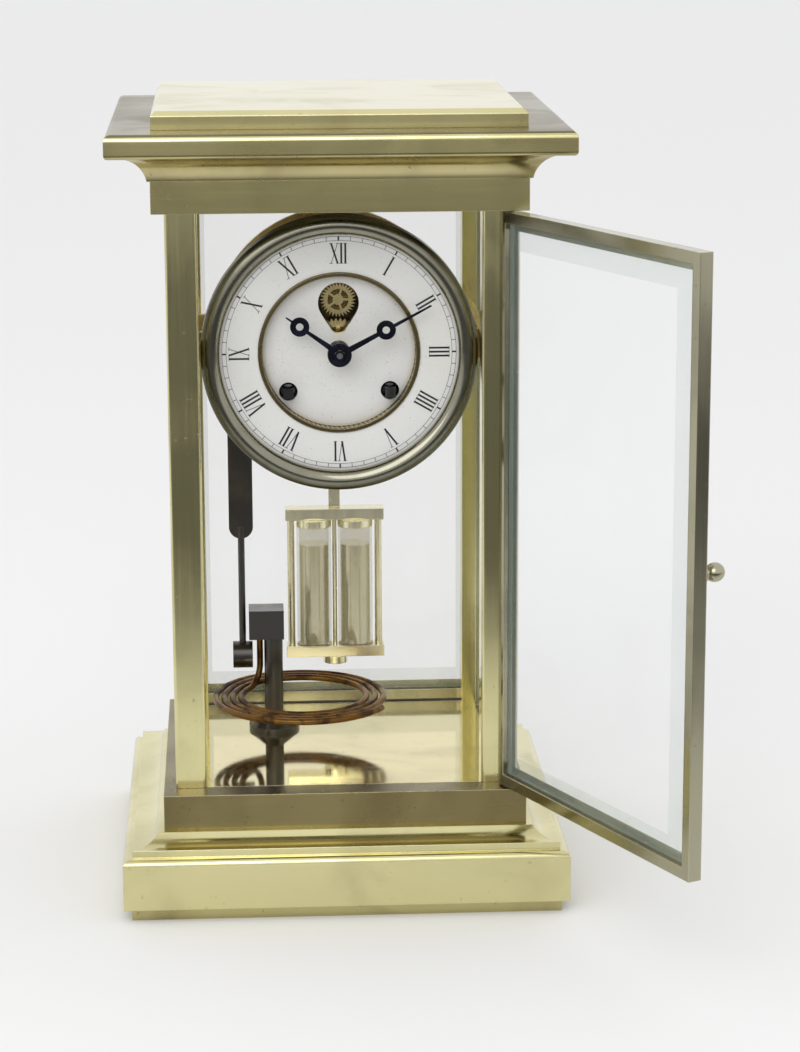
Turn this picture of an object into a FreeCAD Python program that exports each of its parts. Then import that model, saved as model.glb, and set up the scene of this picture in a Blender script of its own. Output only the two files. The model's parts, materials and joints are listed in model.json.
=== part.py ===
"""Brass and crystal mantel clock: four-glass case, striking movement, double-jar pendulum and coil gong.

Frame: +X right, +Y back, +Z up, seen from the dial. The origin is the middle of the base's underside.
"""
import FreeCAD, Part
import math
import os
import re
import Sketcher
from FreeCAD import Placement, Rotation, Vector

# Driving sizes in millimetres. Names ending in angle are degrees; teeth, leaves, count and turns are counts.
SIZES = {
    # Case outline
    "bezel_side_gap": 0.3,
    "plate_side_gap": 4.3,
    "hand_room": 11.6,
    "back_room": 8.6,
    "rail_height": 11.9,
    "rail_width": 12.0,
    "post_height": 194.9,
    "frieze_height": 10.6,
    # Base plinth
    "base_overhang": 13.7,
    "base_lip_height": 4.2,
    "base_lip_inset": 2.6,
    "plinth_height": 21.5,
    "base_round": 2.2,
    "base_step_height": 2.5,
    "base_step_inset": 3.2,
    "base_cove_rise": 3.5,
    "base_cove_inset": 1.2,
    "base_cove_foot": 2.0,
    "base_cove_radius": 8.0,
    "base_wall": 6.0,
    "base_deck": 5.0,
    # Floor plate
    "floor_thickness": 2.4,
    "floor_seat": 3.0,
    "floor_play": 0.1,
    # Cornice and cap
    "cornice_overhang": 14.0,
    "cornice_cove_rise": 8.3,
    "cornice_cove_foot": 1.0,
    "cornice_cove_radius": 10.0,
    "cornice_fillet": 1.4,
    "cornice_plate": 7.8,
    "cornice_round": 2.2,
    "cap_inset": 0.5,
    "cap_height": 6.0,
    "cap_bevel": 1.6,
    "cornice_wall": 6.0,
    "cornice_deck": 5.0,
    # Corner posts
    "post_size": 10.5,
    "post_inset": 4.0,
    "post_round": 1.2,
    "tenon_radius": 2.6,
    "tenon_play": 0.1,
    "tenon_tail": 5.0,
    "tenon_head": 5.0,
    "post_nut_radius": 5.2,
    "post_nut_height": 3.2,
    # Panes
    "glass_thickness": 3.4,
    "glass_setback": 1.8,
    "glass_play": 0.15,
    "groove_depth": 3.0,
    "bevel_width": 8.0,
    "bevel_edge": 1.5,
    # Doors
    "door_thickness": 4.6,
    "door_inset": 3.0,
    "door_gap": 0.4,
    "door_play": 0.5,
    "door_stile": 6.4,
    "door_rail": 6.4,
    "door_lip": 1.3,
    "door_rabbet": 2.6,
    "door_glass_thickness": 3.0,
    "door_moulding": 0.9,
    "door_open_angle": 116.0,
    "hinge_pin_radius": 1.2,
    "hinge_pin_seat": 5.0,
    "hinge_pin_reach": 5.0,
    "pin_press": 0.02,
    "running_play": 0.06,
    "knob_rise": 96.6,
    "knob_radius": 3.0,
    "knob_neck": 1.3,
    "knob_collar": 2.9,
    "knob_collar_height": 0.9,
    "knob_neck_length": 2.2,
    "knob_shank": 1.1,
    # Dial
    "dial_plate_thickness": 1.4,
    "dial_plate_margin": 0.6,
    "dial_top_gap": 4.0,
    "chapter_width": 12.9,
    "bezel_face": 6.2,
    "bezel_crown": 1.7,
    "bezel_lip_depth": 2.2,
    "bezel_wall": 4.3,
    "ring_thickness": 1.5,
    "ring_seat": 3.7,
    "ring_seat_width": 2.2,
    "ring_play": 0.15,
    "centre_margin": 0.792,
    "centre_thickness": 1.5,
    "gilt_ring": 1.3,
    "gilt_rise": 0.5,
    "gilt_flange": 2.0,
    "aperture_top_radius": 6.8,
    "aperture_top_rise": 16.2,
    "aperture_low_radius": 2.8,
    "aperture_low_rise": 8.6,
    "winding_hole": 3.1,
    "dial_hole": 3.6,
    "dial_foot_radius": 1.8,
    "dial_foot_edge": 8.0,
    # Movement plates
    "plate_thickness": 2.4,
    "plate_margin": 2.7,
    "motion_gap": 11.0,
    "pillar_radius": 2.6,
    "pillar_waist": 1.7,
    "pillar_shoulder": 4.0,
    "pillar_edge": 5.5,
    "upper_pillar_angle": 50.0,
    "lower_pillar_angle": 290.0,
    "pillar_end_radius": 1.5,
    "plate_nut_radius": 3.0,
    "plate_nut_height": 2.0,
    # Carriers between the posts and the movement
    "carrier_thickness": 3.0,
    "carrier_height": 10.0,
    "carrier_lug": 2.4,
    "carrier_overlap": 5.6,
    "carrier_glass_gap": 1.0,
    "screw_radius": 1.1,
    "screw_head_radius": 2.2,
    "screw_head_height": 1.3,
    # Toothed wheels
    "wheel_thickness": 1.2,
    "wheel_reach_share": 0.34,
    "wheel_root_share": 1.2,
    "pinion_reach_share": 0.9,
    "pinion_root_share": 0.7,
    "tooth_play": 0.07,
    "pressure_angle": 20.0,
    "rim_width": 2.0,
    "hub_width": 2.2,
    "spoke_width": 1.5,
    "pinion_overhang": 0.8,
    "pivot_radius": 0.55,
    "arbor_radius": 0.72,
    # Barrels and winding arbors
    "barrel_gap": 0.83,
    "winding_drop": 13.5,
    "great_teeth": 64,
    "great_module": 0.5,
    "great_thickness": 1.5,
    "drum_edge": 1.0,
    "drum_length": 15.0,
    "drum_setback": 10.1,
    "drum_rear_gap": 3.0,
    "drum_boss_radius": 4.2,
    "drum_boss": 1.0,
    "winding_radius": 2.2,
    "winding_pivot": 1.5,
    "winding_square": 3.4,
    "winding_gap": 0.8,
    "winding_square_length": 6.5,
    "ratchet_teeth": 24,
    "ratchet_radius": 6.4,
    "ratchet_depth": 0.9,
    "ratchet_lean_share": 0.25,
    "ratchet_thickness": 1.6,
    "ratchet_setback": 0.8,
    # Going train
    "second_leaves": 8,
    "second_teeth": 50,
    "second_module": 0.56,
    "second_setback": 7.2,
    "second_arbor": 1.0,
    "centre_leaves": 10,
    "centre_teeth": 72,
    "centre_module": 0.42,
    "centre_setback": 3.2,
    "centre_arbor": 1.4,
    "centre_nose": 1.0,
    "third_leaves": 6,
    "third_teeth": 86,
    "third_module": 0.33,
    "third_setback": 0.8,
    "escape_leaves": 6,
    "escape_teeth": 30,
    "escape_radius": 6.0,
    "escape_tooth": 1.5,
    "escape_lean_share": 0.3,
    "escape_rise": 16.8,
    "escape_gap": 0.6,
    # Motion work and hands
    "cannon_teeth": 12,
    "minute_teeth": 36,
    "cannon_module": 0.5,
    "minute_leaves": 10,
    "hour_teeth": 40,
    "minute_angle": 165.0,
    "motion_setback": 1.6,
    "motion_step": 3.6,
    "cannon_radius": 1.7,
    "hour_pipe_radius": 2.5,
    "hand_thickness": 0.8,
    "hour_hand_gap": 1.6,
    "hand_gap": 1.4,
    "hour_hand_length": 21.5,
    "minute_hand_length": 34.5,
    "hand_root_width": 2.2,
    "hand_tip_width": 0.5,
    "hand_hub_radius": 4.0,
    "hour_moon_reach": 16.0,
    "minute_moon_reach": 17.5,
    "moon_radius": 3.2,
    "moon_hole": 1.25,
    "minute_hand_angle": 62.0,
    "hour_hand_angle": 305.2,
    "hand_nut_radius": 1.9,
    "hand_nut_height": 1.6,
    # Escapement
    "anchor_rise": 8.5,
    "anchor_arm_width": 1.5,
    "anchor_hub_radius": 1.7,
    "pallet_radius": 0.7,
    "pallet_clearance": 0.4,
    "bridge_thickness": 1.6,
    "bridge_gap": 0.8,
    "bridge_width": 22.0,
    "bridge_margin": 3.4,
    "bridge_foot_radius": 1.9,
    "bridge_foot_reach": 8.6,
    "crutch_width": 2.0,
    "crutch_thickness": 1.2,
    "crutch_setback": 1.2,
    "crutch_length": 27.0,
    "crutch_pin_radius": 0.6,
    # Strike train
    "pin_angle": 150.0,
    "pin_teeth": 48,
    "pin_module": 0.3,
    "pin_leaves": 8,
    "pin_count": 8,
    "pin_reach": 5.4,
    "pin_radius": 0.5,
    "pin_length": 2.2,
    "fly_leaves": 6,
    "fly_angle": 75.0,
    "fly_radius": 5.5,
    "fly_length": 10.0,
    "fly_setback": 11.6,
    "fly_vane": 0.6,
    "fly_hub_radius": 1.4,
    # Hammer
    "hammer_x": -33.5,
    "hammer_drop": 20.5,
    "hammer_arbor": 1.0,
    "hammer_setback": 1.2,
    "hammer_thickness": 1.8,
    "hammer_width": 8.5,
    "hammer_rod_radius": 1.2,
    "hammer_rod_length": 47.0,
    "head_gap": 2.2,
    "hammer_tail_width": 2.0,
    "hammer_tail_thickness": 1.4,
    "hammer_tail_gap": 0.5,
    "hammer_head_radius": 4.8,
    "hammer_head_length": 7.0,
    "hammer_face": 1.5,
    # Gong
    "gong_rise": 15.6,
    "gong_wire_radius": 1.1,
    "gong_radius": 22.0,
    "gong_pitch": 3.0,
    "gong_half_turns": 7,
    "gong_bend": 8.0,
    "gong_heading_angle": -120.0,
    "stand_foot_radius": 9.0,
    "stand_foot_height": 3.2,
    "stand_column_radius": 3.3,
    "stand_column_offset": 4.8,
    "stand_column_front": 2.75,
    "stand_rise": 33.5,
    "stand_head_height": 10.5,
    "stand_head_depth": 8.0,
    "stand_head_margin": 3.8,
    # Pendulum
    "pendulum_setback": 14.1,
    "cock_thickness": 2.0,
    "cock_width": 20.0,
    "cock_spacer_radius": 2.2,
    "cock_spacer_reach": 7.6,
    "cock_gap": 3.4,
    "cock_arm_low": 3.2,
    "cock_arm_height": 3.6,
    "cock_drop": 4.0,
    "ear_thickness": 1.7,
    "ear_width": 5.0,
    "ear_gap": 0.3,
    "suspension_pin_radius": 1.0,
    "suspension_block": 3.0,
    "suspension_block_width": 5.0,
    "suspension_block_height": 4.6,
    "suspension_strip": 0.4,
    "suspension_length": 8.4,
    "rod_width": 4.0,
    "rod_thickness": 1.6,
    "rod_thread_radius": 0.8,
    "jar_height": 44.0,
    "jar_radius": 6.3,
    "jar_wall": 0.9,
    "jar_gap": 1.1,
    "mercury_depth": 37.5,
    "mercury_play": 0.1,
    "bar_height": 4.0,
    "bar_depth": 7.0,
    "bar_end": 0.6,
    "frame_rod_radius": 1.3,
    "frame_rod_gap": 0.7,
    "cap_height_over_jar": 2.6,
    "rating_nut_radius": 4.4,
    "rating_nut_height": 2.6,
    "rod_end_gap": 0.9,
    "gong_clearance": 2.4,
}

# Places worked out from the driving sizes.
PLACES = {
    "great_pitch": "great_teeth * great_module / 2",
    "winding_x": "great_pitch + wheel_reach_share * great_module + barrel_gap",
    "drum_radius": "great_pitch - wheel_root_share * great_module - drum_edge",
    "barrel_far": "sqrt(winding_x ^ 2 + winding_drop ^ 2)",
    "centre_radius": "barrel_far + winding_hole + centre_margin",
    "gilt_radius": "centre_radius + gilt_ring",
    "bezel_radius": "gilt_radius + chapter_width + bezel_face",
    "plate_radius": "sqrt(hammer_x ^ 2 + hammer_drop ^ 2) + plate_margin",
    "case_room": "max(bezel_radius + bezel_side_gap; plate_radius + plate_side_gap)",
    "case_width": "2 * (case_room + post_size + post_inset)",
    "hand_depth": "hour_hand_gap + 2 * hand_thickness + hand_gap + hand_nut_height - bezel_lip_depth",
    "front_room": "hand_depth + hand_room",
    "dial_depth": "bezel_lip_depth + ring_thickness + ring_seat + dial_plate_thickness + motion_gap",
    "plate_gap": "drum_setback + drum_length + great_thickness + drum_rear_gap",
    "movement_depth": "2 * plate_thickness + plate_gap",
    "door_depth": "door_inset + door_thickness",
    "pendulum_depth": "pendulum_setback + jar_radius + back_room",
    "case_depth": "2 * door_depth + front_room + dial_depth + movement_depth + pendulum_depth",
    "rail_x": "case_width / 2",
    "rail_y": "case_depth / 2",
    "step_top": "plinth_height + base_step_height",
    "base_top": "step_top + base_cove_rise",
    "rail_top": "base_top + rail_height",
    "post_top": "rail_top + post_height",
    "frieze_top": "post_top + frieze_height",
    "cove_top": "frieze_top + cornice_cove_rise",
    "cornice_top": "cove_top + cornice_plate",
    "cap_top": "cornice_top + cap_height",
    "post_outer_x": "rail_x - post_inset",
    "post_inner_x": "post_outer_x - post_size",
    "post_x": "post_outer_x - post_size / 2",
    "door_face": "rail_y - door_inset",
    "post_outer_y": "door_face - door_thickness - door_gap",
    "post_inner_y": "post_outer_y - post_size",
    "post_y": "post_outer_y - post_size / 2",
    "glass_outer_x": "post_outer_x - glass_setback",
    "glass_inner_x": "glass_outer_x - glass_thickness",
    "hinge_x": "post_outer_x - door_thickness / 2",
    "hinge_y": "door_face - door_thickness / 2",
    "door_half": "door_thickness / 2",
    "leaf": "hinge_x + post_outer_x",
    "door_low": "rail_top + door_play",
    "door_high": "post_top - door_play",
    "knob_height": "rail_top + knob_rise",
    "dial_height": "post_top - dial_top_gap - bezel_radius",
    # Planes of the movement, front to back
    "plate_front": "door_depth + front_room + dial_depth - case_depth / 2",
    "plate_back": "plate_front + plate_thickness",
    "rear_front": "plate_back + plate_gap",
    "rear_back": "rear_front + plate_thickness",
    "dial_back": "plate_front - motion_gap",
    "dial_seat": "dial_back - dial_plate_thickness",
    "ring_back": "dial_seat - ring_seat",
    "ring_front": "ring_back - ring_thickness",
    "bezel_edge": "ring_front - bezel_lip_depth",
    "bezel_lip_radius": "bezel_radius - bezel_face",
    "bezel_round": "(bezel_face ^ 2 / 4 + bezel_crown ^ 2) / (2 * bezel_crown)",
    "seat_radius": "bezel_radius - bezel_wall",
    "dial_foot_reach": "min(plate_radius; bezel_radius) - dial_foot_edge",
    "pillar_reach": "plate_radius - pillar_edge",
    "ring_radius": "seat_radius - ring_play",
    "third_front": "plate_back + third_setback",
    "centre_front": "plate_back + centre_setback",
    "second_front": "plate_back + second_setback",
    "drum_front": "plate_back + drum_setback",
    "drum_back": "drum_front + drum_length",
    "great_back": "drum_back + great_thickness",
    "escape_front": "dial_back + escape_gap",
    "escape_back": "escape_front + wheel_thickness",
    "bridge_front": "escape_back + bridge_gap",
    "bridge_back": "bridge_front + bridge_thickness",
    "minute_back": "plate_front - motion_setback",
    "minute_front": "minute_back - wheel_thickness",
    "hour_back": "minute_back - motion_step",
    "hour_front": "hour_back - wheel_thickness",
    "hour_hand_back": "ring_front - hour_hand_gap",
    "hour_hand_front": "hour_hand_back - hand_thickness",
    "minute_hand_back": "hour_hand_front - hand_gap",
    "minute_hand_front": "minute_hand_back - hand_thickness",
    "nut_front": "minute_hand_front - hand_nut_height",
    "winding_front": "hour_hand_back + winding_gap",
    "crutch_front": "rear_back + crutch_setback",
    "crutch_back": "crutch_front + crutch_thickness",
    "hammer_front": "rear_back + hammer_setback",
    "hammer_back": "hammer_front + hammer_thickness",
    "hammer_y": "hammer_front + hammer_thickness / 2",
    # Arbors of the going train, from the dial centre
    "great_second": "(great_teeth + second_leaves) * great_module / 2",
    "second_centre": "(second_teeth + centre_leaves) * second_module / 2",
    "second_along": "(second_centre ^ 2 - great_second ^ 2 + barrel_far ^ 2) / (2 * barrel_far)",
    "second_across": "sqrt(second_centre ^ 2 - second_along ^ 2)",
    "second_x": "(second_along * winding_x + second_across * winding_drop) / barrel_far",
    "second_rise": "(second_across * winding_x - second_along * winding_drop) / barrel_far",
    "centre_third": "(centre_teeth + third_leaves) * centre_module / 2",
    "third_escape": "(third_teeth + escape_leaves) * third_module / 2",
    "third_rise": "(centre_third ^ 2 - third_escape ^ 2 + escape_rise ^ 2) / (2 * escape_rise)",
    "third_x": "-sqrt(centre_third ^ 2 - third_rise ^ 2)",
    "minute_reach": "(cannon_teeth + minute_teeth) * cannon_module / 2",
    "hour_module": "2 * minute_reach / (minute_leaves + hour_teeth)",
    "minute_x": "minute_reach * cos(minute_angle)",
    "minute_rise": "minute_reach * sin(minute_angle)",
    "swing_rise": "escape_rise + anchor_rise",
    "swing_z": "dial_height + swing_rise",
    # Arbors of the strike train
    "great_pin": "(great_teeth + pin_leaves) * great_module / 2",
    "pin_x": "great_pin * cos(pin_angle) - winding_x",
    "pin_rise": "great_pin * sin(pin_angle) - winding_drop",
    "pin_fly": "(pin_teeth + fly_leaves) * pin_module / 2",
    "fly_x": "pin_x + pin_fly * cos(fly_angle)",
    "fly_rise": "pin_rise + pin_fly * sin(fly_angle)",
    "hammer_z": "dial_height - hammer_drop",
    "gong_z": "rail_top + gong_rise",
    "stand_head_low": "rail_top + stand_rise",
    "head_z": "stand_head_low - hammer_head_radius - head_gap",
    "hammer_bar_length": "hammer_z - head_z - hammer_rod_length",
    "head_right": "hammer_x + hammer_head_length / 2",
    "gong_root_x": "head_right + hammer_face + gong_wire_radius",
    # Pendulum
    "pendulum_y": "rear_back + pendulum_setback",
    "block_high": "swing_z + suspension_block_height / 2",
    "block_low": "swing_z - suspension_block_height / 2",
    "strip_low": "block_low - suspension_length",
    "hook_low": "strip_low - suspension_block_height",
    "rod_low": "gong_z + gong_wire_radius + gong_clearance",
    "nut_low": "rod_low + rod_end_gap",
    "low_bar_low": "nut_low + rating_nut_height",
    "jar_low": "low_bar_low + bar_height",
    "jar_top": "jar_low + jar_height",
    "mercury_level": "jar_low + mercury_depth",
    "top_bar_low": "jar_top + cap_height_over_jar",
    "top_bar_high": "top_bar_low + bar_height",
    "jar_x": "jar_radius + jar_gap",
    "frame_rod_x": "jar_x + jar_radius + frame_rod_gap + frame_rod_radius",
    "bar_half": "frame_rod_x + frame_rod_radius + bar_end",
    "ear_inner": "suspension_block / 2 + ear_gap",
    "ear_outer": "ear_inner + ear_thickness",
    "cock_front": "rear_back + cock_gap",
    "cock_back": "cock_front + cock_thickness",
}

doc = FreeCAD.newDocument("clock")
sizes = doc.addObject("Spreadsheet::Sheet", "sizes")
places = doc.addObject("Spreadsheet::Sheet", "places")
nodes = {}


def bound(text):
    """Expression text whose words point at the cells that hold them."""
    def cell(match):
        word = match.group(0)
        if word in SIZES:
            return f"sizes.{word}"
        return f"places.{word}" if word in PLACES else word
    return re.sub(r"[a-z_]+", cell, text)


def fill_sheets():
    """Write the driving sizes as plain numbers, and the places as formulas on them."""
    for row, (name, number) in enumerate(SIZES.items(), start=1):
        sizes.set(f"A{row}", name)
        sizes.set(f"B{row}", str(number))
        sizes.setAlias(f"B{row}", name)
    for row, (name, formula) in enumerate(PLACES.items(), start=1):
        places.set(f"A{row}", name)
        places.set(f"B{row}", "=" + bound(formula))
        places.setAlias(f"B{row}", name)
    doc.recompute()


def value(text):
    """Number that a piece of expression text stands for."""
    return float(sizes.evalExpression(bound(text)))


def keep(node, item):
    """Make an object one of the part's nodes, under the node's own label."""
    item.Label = node
    nodes[node] = item
    return item


# Placement helpers: TILT lays a flat outline upright, facing the dial's side.
TILT = Rotation(Vector(1, 0, 0), 90)
ALONG = {"x": Rotation(Vector(0, 1, 0), 90), "y": Rotation(Vector(1, 0, 0), -90), "z": Rotation()}


def place(item, x="0", y="0", z="0", turn=Rotation()):
    item.Placement = Placement(Vector(), turn)
    for axis, text in zip("xyz", (x, y, z)):
        item.setExpression(f"Placement.Base.{axis}", bound(text))
    return item


def span(sign, inner, outer):
    """Range between two distances from the middle, on the side that the sign gives."""
    return (inner, outer) if sign > 0 else (f"-({outer})", f"-({inner})")


def block(name, x, y, z):
    """Box between pairs of bounds."""
    item = doc.addObject("Part::Box", name)
    for side, axis, (low, high) in zip(("Length", "Width", "Height"), "xyz", (x, y, z)):
        item.setExpression(side, bound(f"({high}) - ({low})"))
        item.setExpression(f"Placement.Base.{axis}", bound(low))
    return item


def rod(name, radius, x, y, z):
    """Cylinder along the axis whose place is a pair of bounds."""
    item = doc.addObject("Part::Cylinder", name)
    spots = {"x": x, "y": y, "z": z}
    axis = next(key for key, spot in spots.items() if isinstance(spot, tuple))
    low, high = spots[axis]
    spots[axis] = low
    item.setExpression("Radius", bound(radius))
    item.setExpression("Height", bound(f"({high}) - ({low})"))
    return place(item, spots["x"], spots["y"], spots["z"], ALONG[axis])


def nut(name, radius, bore, x, y, z):
    """Hexagon nut along the axis whose place is a pair of bounds."""
    item = doc.addObject("Part::Prism", name + "_hexagon")
    item.Polygon = 6
    spots = {"x": x, "y": y, "z": z}
    axis = next(key for key, spot in spots.items() if isinstance(spot, tuple))
    low, high = spots[axis]
    spots[axis] = low
    item.setExpression("Circumradius", bound(radius))
    item.setExpression("Height", bound(f"({high}) - ({low})"))
    place(item, spots["x"], spots["y"], spots["z"], ALONG[axis])
    return cut(name, item, rod(name + "_bore", bore, x, y, z))


def fuse(name, *items):
    item = doc.addObject("Part::MultiFuse", name)
    item.Shapes = list(items)
    item.Refine = True
    return item


def cut(name, base, *tools):
    item = doc.addObject("Part::Cut", name)
    item.Base = base
    item.Tool = tools[0] if len(tools) == 1 else fuse(name + "_cutters", *tools)
    return item


def group(name, *items):
    item = doc.addObject("Part::Compound", name)
    item.Links = list(items)
    return item


def fix_point(sketch, line, end, x, y):
    """Tie one point of a sketch to its named sizes."""
    for kind, axis, text in (("DistanceX", -2, x), ("DistanceY", -1, y)):
        if text == "0":
            sketch.addConstraint(Sketcher.Constraint("PointOnObject", line, end, axis))
            continue
        index = sketch.addConstraint(Sketcher.Constraint(kind, -1, 1, line, end, value(text)))
        sketch.setExpression(f"Constraints[{index}]", bound(text))


def fix_radius(sketch, line, radius):
    index = sketch.addConstraint(Sketcher.Constraint("Radius", line, value(radius)))
    sketch.setExpression(f"Constraints[{index}]", bound(radius))


def arc_between(start, end, radius, side):
    """Minor arc from start to end that turns left for side +1 and right for side -1."""
    chord = end - start
    middle = (start + end) / 2
    normal = Vector(-chord.y, chord.x, 0) * (side / chord.Length)
    centre = middle + normal * math.sqrt(radius ** 2 - (chord.Length / 2) ** 2)
    ends = (start, end) if side > 0 else (end, start)
    angles = [math.atan2(spot.y - centre.y, spot.x - centre.x) for spot in ends]
    return Part.ArcOfCircle(Part.Circle(centre, Vector(0, 0, 1), radius), *angles)


def draw(sketch, outline, circles=()):
    """Closed outline of (x, y) corners, where (x, y, radius, side) is reached by an arc, and circles."""
    corners = [Vector(value(corner[0]), value(corner[1]), 0) for corner in outline]
    ends = []
    for index, corner in enumerate(outline):
        start = corners[index - 1]
        end = corners[index]
        if len(corner) == 2:
            line = sketch.addGeometry(Part.LineSegment(start, end))
            ends.append((line, 1, 2))
        else:
            line = sketch.addGeometry(arc_between(start, end, value(corner[2]), corner[3]))
            ends.append((line, 1, 2) if corner[3] > 0 else (line, 2, 1))
    for index, (line, first, last) in enumerate(ends):
        before = ends[index - 1]
        sketch.addConstraint(Sketcher.Constraint("Coincident", before[0], before[2], line, first))
    for corner, (line, first, last) in zip(outline, ends):
        fix_point(sketch, line, last, corner[0], corner[1])
        if len(corner) == 4:
            fix_radius(sketch, line, corner[2])
    for x, y, radius in circles:
        spot = Vector(value(x), value(y), 0)
        line = sketch.addGeometry(Part.Circle(spot, Vector(0, 0, 1), value(radius)))
        fix_point(sketch, line, 3, x, y)
        fix_radius(sketch, line, radius)


def body_with_sketch(name, plane, outline, circles=()):
    body = doc.addObject("PartDesign::Body", name)
    sketch = body.newObject("Sketcher::SketchObject", name + "_outline")
    support = next(item for item in body.Origin.OriginFeatures if item.Role == plane)
    sketch.AttachmentSupport = [(support, "")]
    sketch.MapMode = "FlatFace"
    draw(sketch, outline, circles)
    return body, sketch


def prism(name, plane, outline, length, circles=(), symmetric=False):
    """Body padded from an outline on one of its own planes."""
    body, sketch = body_with_sketch(name, plane, outline, circles)
    pad = body.newObject("PartDesign::Pad", name + "_pad")
    pad.Profile = sketch
    pad.SideType = "Symmetric" if symmetric else "One side"
    pad.setExpression("Length", bound(length))
    return body


def plate(name, front, back, outline, circles=(), x="0", z="0"):
    """Upright plate between two planes, drawn from a point (x, z) as seen from the dial's side."""
    body = prism(name, "XY_Plane", outline, f"({back}) - ({front})", circles)
    return place(body, x, back, z, TILT)


def turned(name, axis, outline, x="0", y="0", z="0"):
    """Body turned about Y or Z from an outline of (radius, distance along the axis) corners."""
    body, sketch = body_with_sketch(name, "XY_Plane" if axis == "y" else "XZ_Plane", outline)
    turn = body.newObject("PartDesign::Revolution", name + "_turn")
    turn.Profile = sketch
    turn.ReferenceAxis = (sketch, ["V_Axis"])
    turn.Angle = 360
    return place(body, x, y, z)


def stacked(name, half_x, half_y, reach, profile):
    """Moulding with one mitred profile of (offset, rise) corners on its four sides.

    A bar with the profile at left and right meets one with it at front and back.
    What the two bars share is the moulding.
    """
    bars = []
    for plane, half, other in (("XZ_Plane", half_x, half_y), ("YZ_Plane", half_y, half_x)):
        right = [(f"{half} + ({corner[0]})", *corner[1:]) for corner in profile]
        left = []
        for index in reversed(range(len(profile))):
            arc = profile[index + 1][2:] if index + 1 < len(profile) else ()
            left.append((f"-({half} + ({profile[index][0]}))", profile[index][1], *arc))
        length = f"2 * ({other} + {reach})"
        bars.append(prism(f"{name}_{plane[:2].lower()}", plane, right + left, length, symmetric=True))
    common = doc.addObject("Part::Common", name)
    common.Base, common.Tool = bars
    return common


# Toothed wheels, drawn as polygons and arcs about their own arbor
def polar(radius, angle):
    return Vector(radius * math.cos(angle), radius * math.sin(angle), 0)


def involute(angle):
    return math.tan(angle) - angle


def tooth_outline(teeth, module, reach, root, steps, phase):
    """Outline of an involute wheel whose first tooth points at the phase angle, in radians."""
    pressure = math.radians(value("pressure_angle"))
    pitch = teeth * module / 2
    base = pitch * math.cos(pressure)
    low = pitch - root * module
    high = pitch + reach * module
    thickness = math.pi * module / 2 - value("tooth_play")

    def half_angle(radius):
        lean = math.acos(min(1, base / radius))
        return thickness / (2 * pitch) + involute(pressure) - involute(lean)

    foot = max(low, base)
    radii = [foot + (high - foot) * step / steps for step in range(steps + 1)]
    flank = [(radius, half_angle(radius)) for radius in radii]
    if low < base:
        flank.insert(0, (low, half_angle(foot)))
    points = []
    for tooth in range(teeth):
        middle = phase + 2 * math.pi * tooth / teeth
        points += [polar(radius, middle - half) for radius, half in flank]
        points += [polar(radius, middle + half) for radius, half in reversed(flank)]
    return Part.makePolygon(points + points[:1])


def ring_wire(radius):
    return Part.Wire(Part.Circle(Vector(), Vector(0, 0, 1), radius).toShape())


def spoke_windows(inner, outer, width, count):
    """Windows between the spokes of a wheel."""
    wires = []
    for index in range(count):
        start = 2 * math.pi * index / count
        end = 2 * math.pi * (index + 1) / count
        spots = []
        for radius in (outer, inner):
            lean = math.asin(width / 2 / radius)
            angles = (start + lean, (start + end) / 2, end - lean)
            spots.append([polar(radius, angle) for angle in angles])
        rim, hub = spots
        edges = [
            Part.Arc(*rim).toShape(),
            Part.LineSegment(rim[2], hub[2]).toShape(),
            Part.Arc(*reversed(hub)).toShape(),
            Part.LineSegment(hub[0], rim[0]).toShape(),
        ]
        wires.append(Part.Wire(edges))
    return wires


def flat_solid(name, wires, front, back, x, z):
    """Solid between two upright planes from an outer wire and the wires of its openings."""
    face = Part.makeFace(wires, "Part::FaceMakerBullseye")
    item = doc.addObject("Part::Feature", name)
    item.Shape = face.extrude(Vector(0, 0, value(back) - value(front)))
    return place(item, x, back, z, TILT)


def wheel(name, teeth, module, bore, front, back, x, z, phase=0.0, spokes=5):
    """Spoked brass wheel on its arbor."""
    pitch = value(f"{teeth} * {module} / 2")
    outline = tooth_outline(
        int(value(teeth)), value(module), value("wheel_reach_share"), value("wheel_root_share"), 1, phase)
    root = pitch - value(f"wheel_root_share * {module}")
    hub = value(f"({bore}) + hub_width")
    windows = spoke_windows(hub, root - value("rim_width"), value("spoke_width"), spokes)
    return flat_solid(name, [outline, ring_wire(value(bore)), *windows], front, back, x, z)


def pinion(name, leaves, module, front, back, x, z, phase, bore=None):
    """Steel pinion, solid or with a bore."""
    outline = tooth_outline(
        int(value(leaves)), value(module), value("pinion_reach_share"), value("pinion_root_share"), 2, phase)
    wires = [outline] if bore is None else [outline, ring_wire(value(bore))]
    return flat_solid(name, wires, front, back, x, z)


def meshed(teeth, phase, spot, leaves, other):
    """Phase that puts a gap of the second wheel over a tooth of the first, along their line of centres."""
    line = math.atan2(value(other[1]) - value(spot[1]), value(other[0]) - value(spot[0]))
    teeth = value(teeth)
    leaves = value(leaves)
    share = (line - phase) * teeth / (2 * math.pi)
    return line + math.pi - (0.5 - share) * 2 * math.pi / leaves


def saw_outline(teeth, tip, root, lean_share):
    """Pointed teeth that lean one way."""
    points = []
    step = 2 * math.pi / teeth
    for tooth in range(teeth):
        points.append(polar(tip, tooth * step))
        points.append(polar(root, tooth * step + step * lean_share))
    return Part.makePolygon(points + points[:1])


def arbor(name, x, z, *steps):
    """Stepped steel arbor of (radius, front, back) lengths."""
    rods = []
    for index, (radius, front, back) in enumerate(steps):
        rods.append(rod(f"{name}_{index}", radius, x, (front, back), z))
    return fuse(name, *rods)


def up(rise):
    """Height of a place that is given from the dial's centre."""
    return f"dial_height + {rise}"


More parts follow.
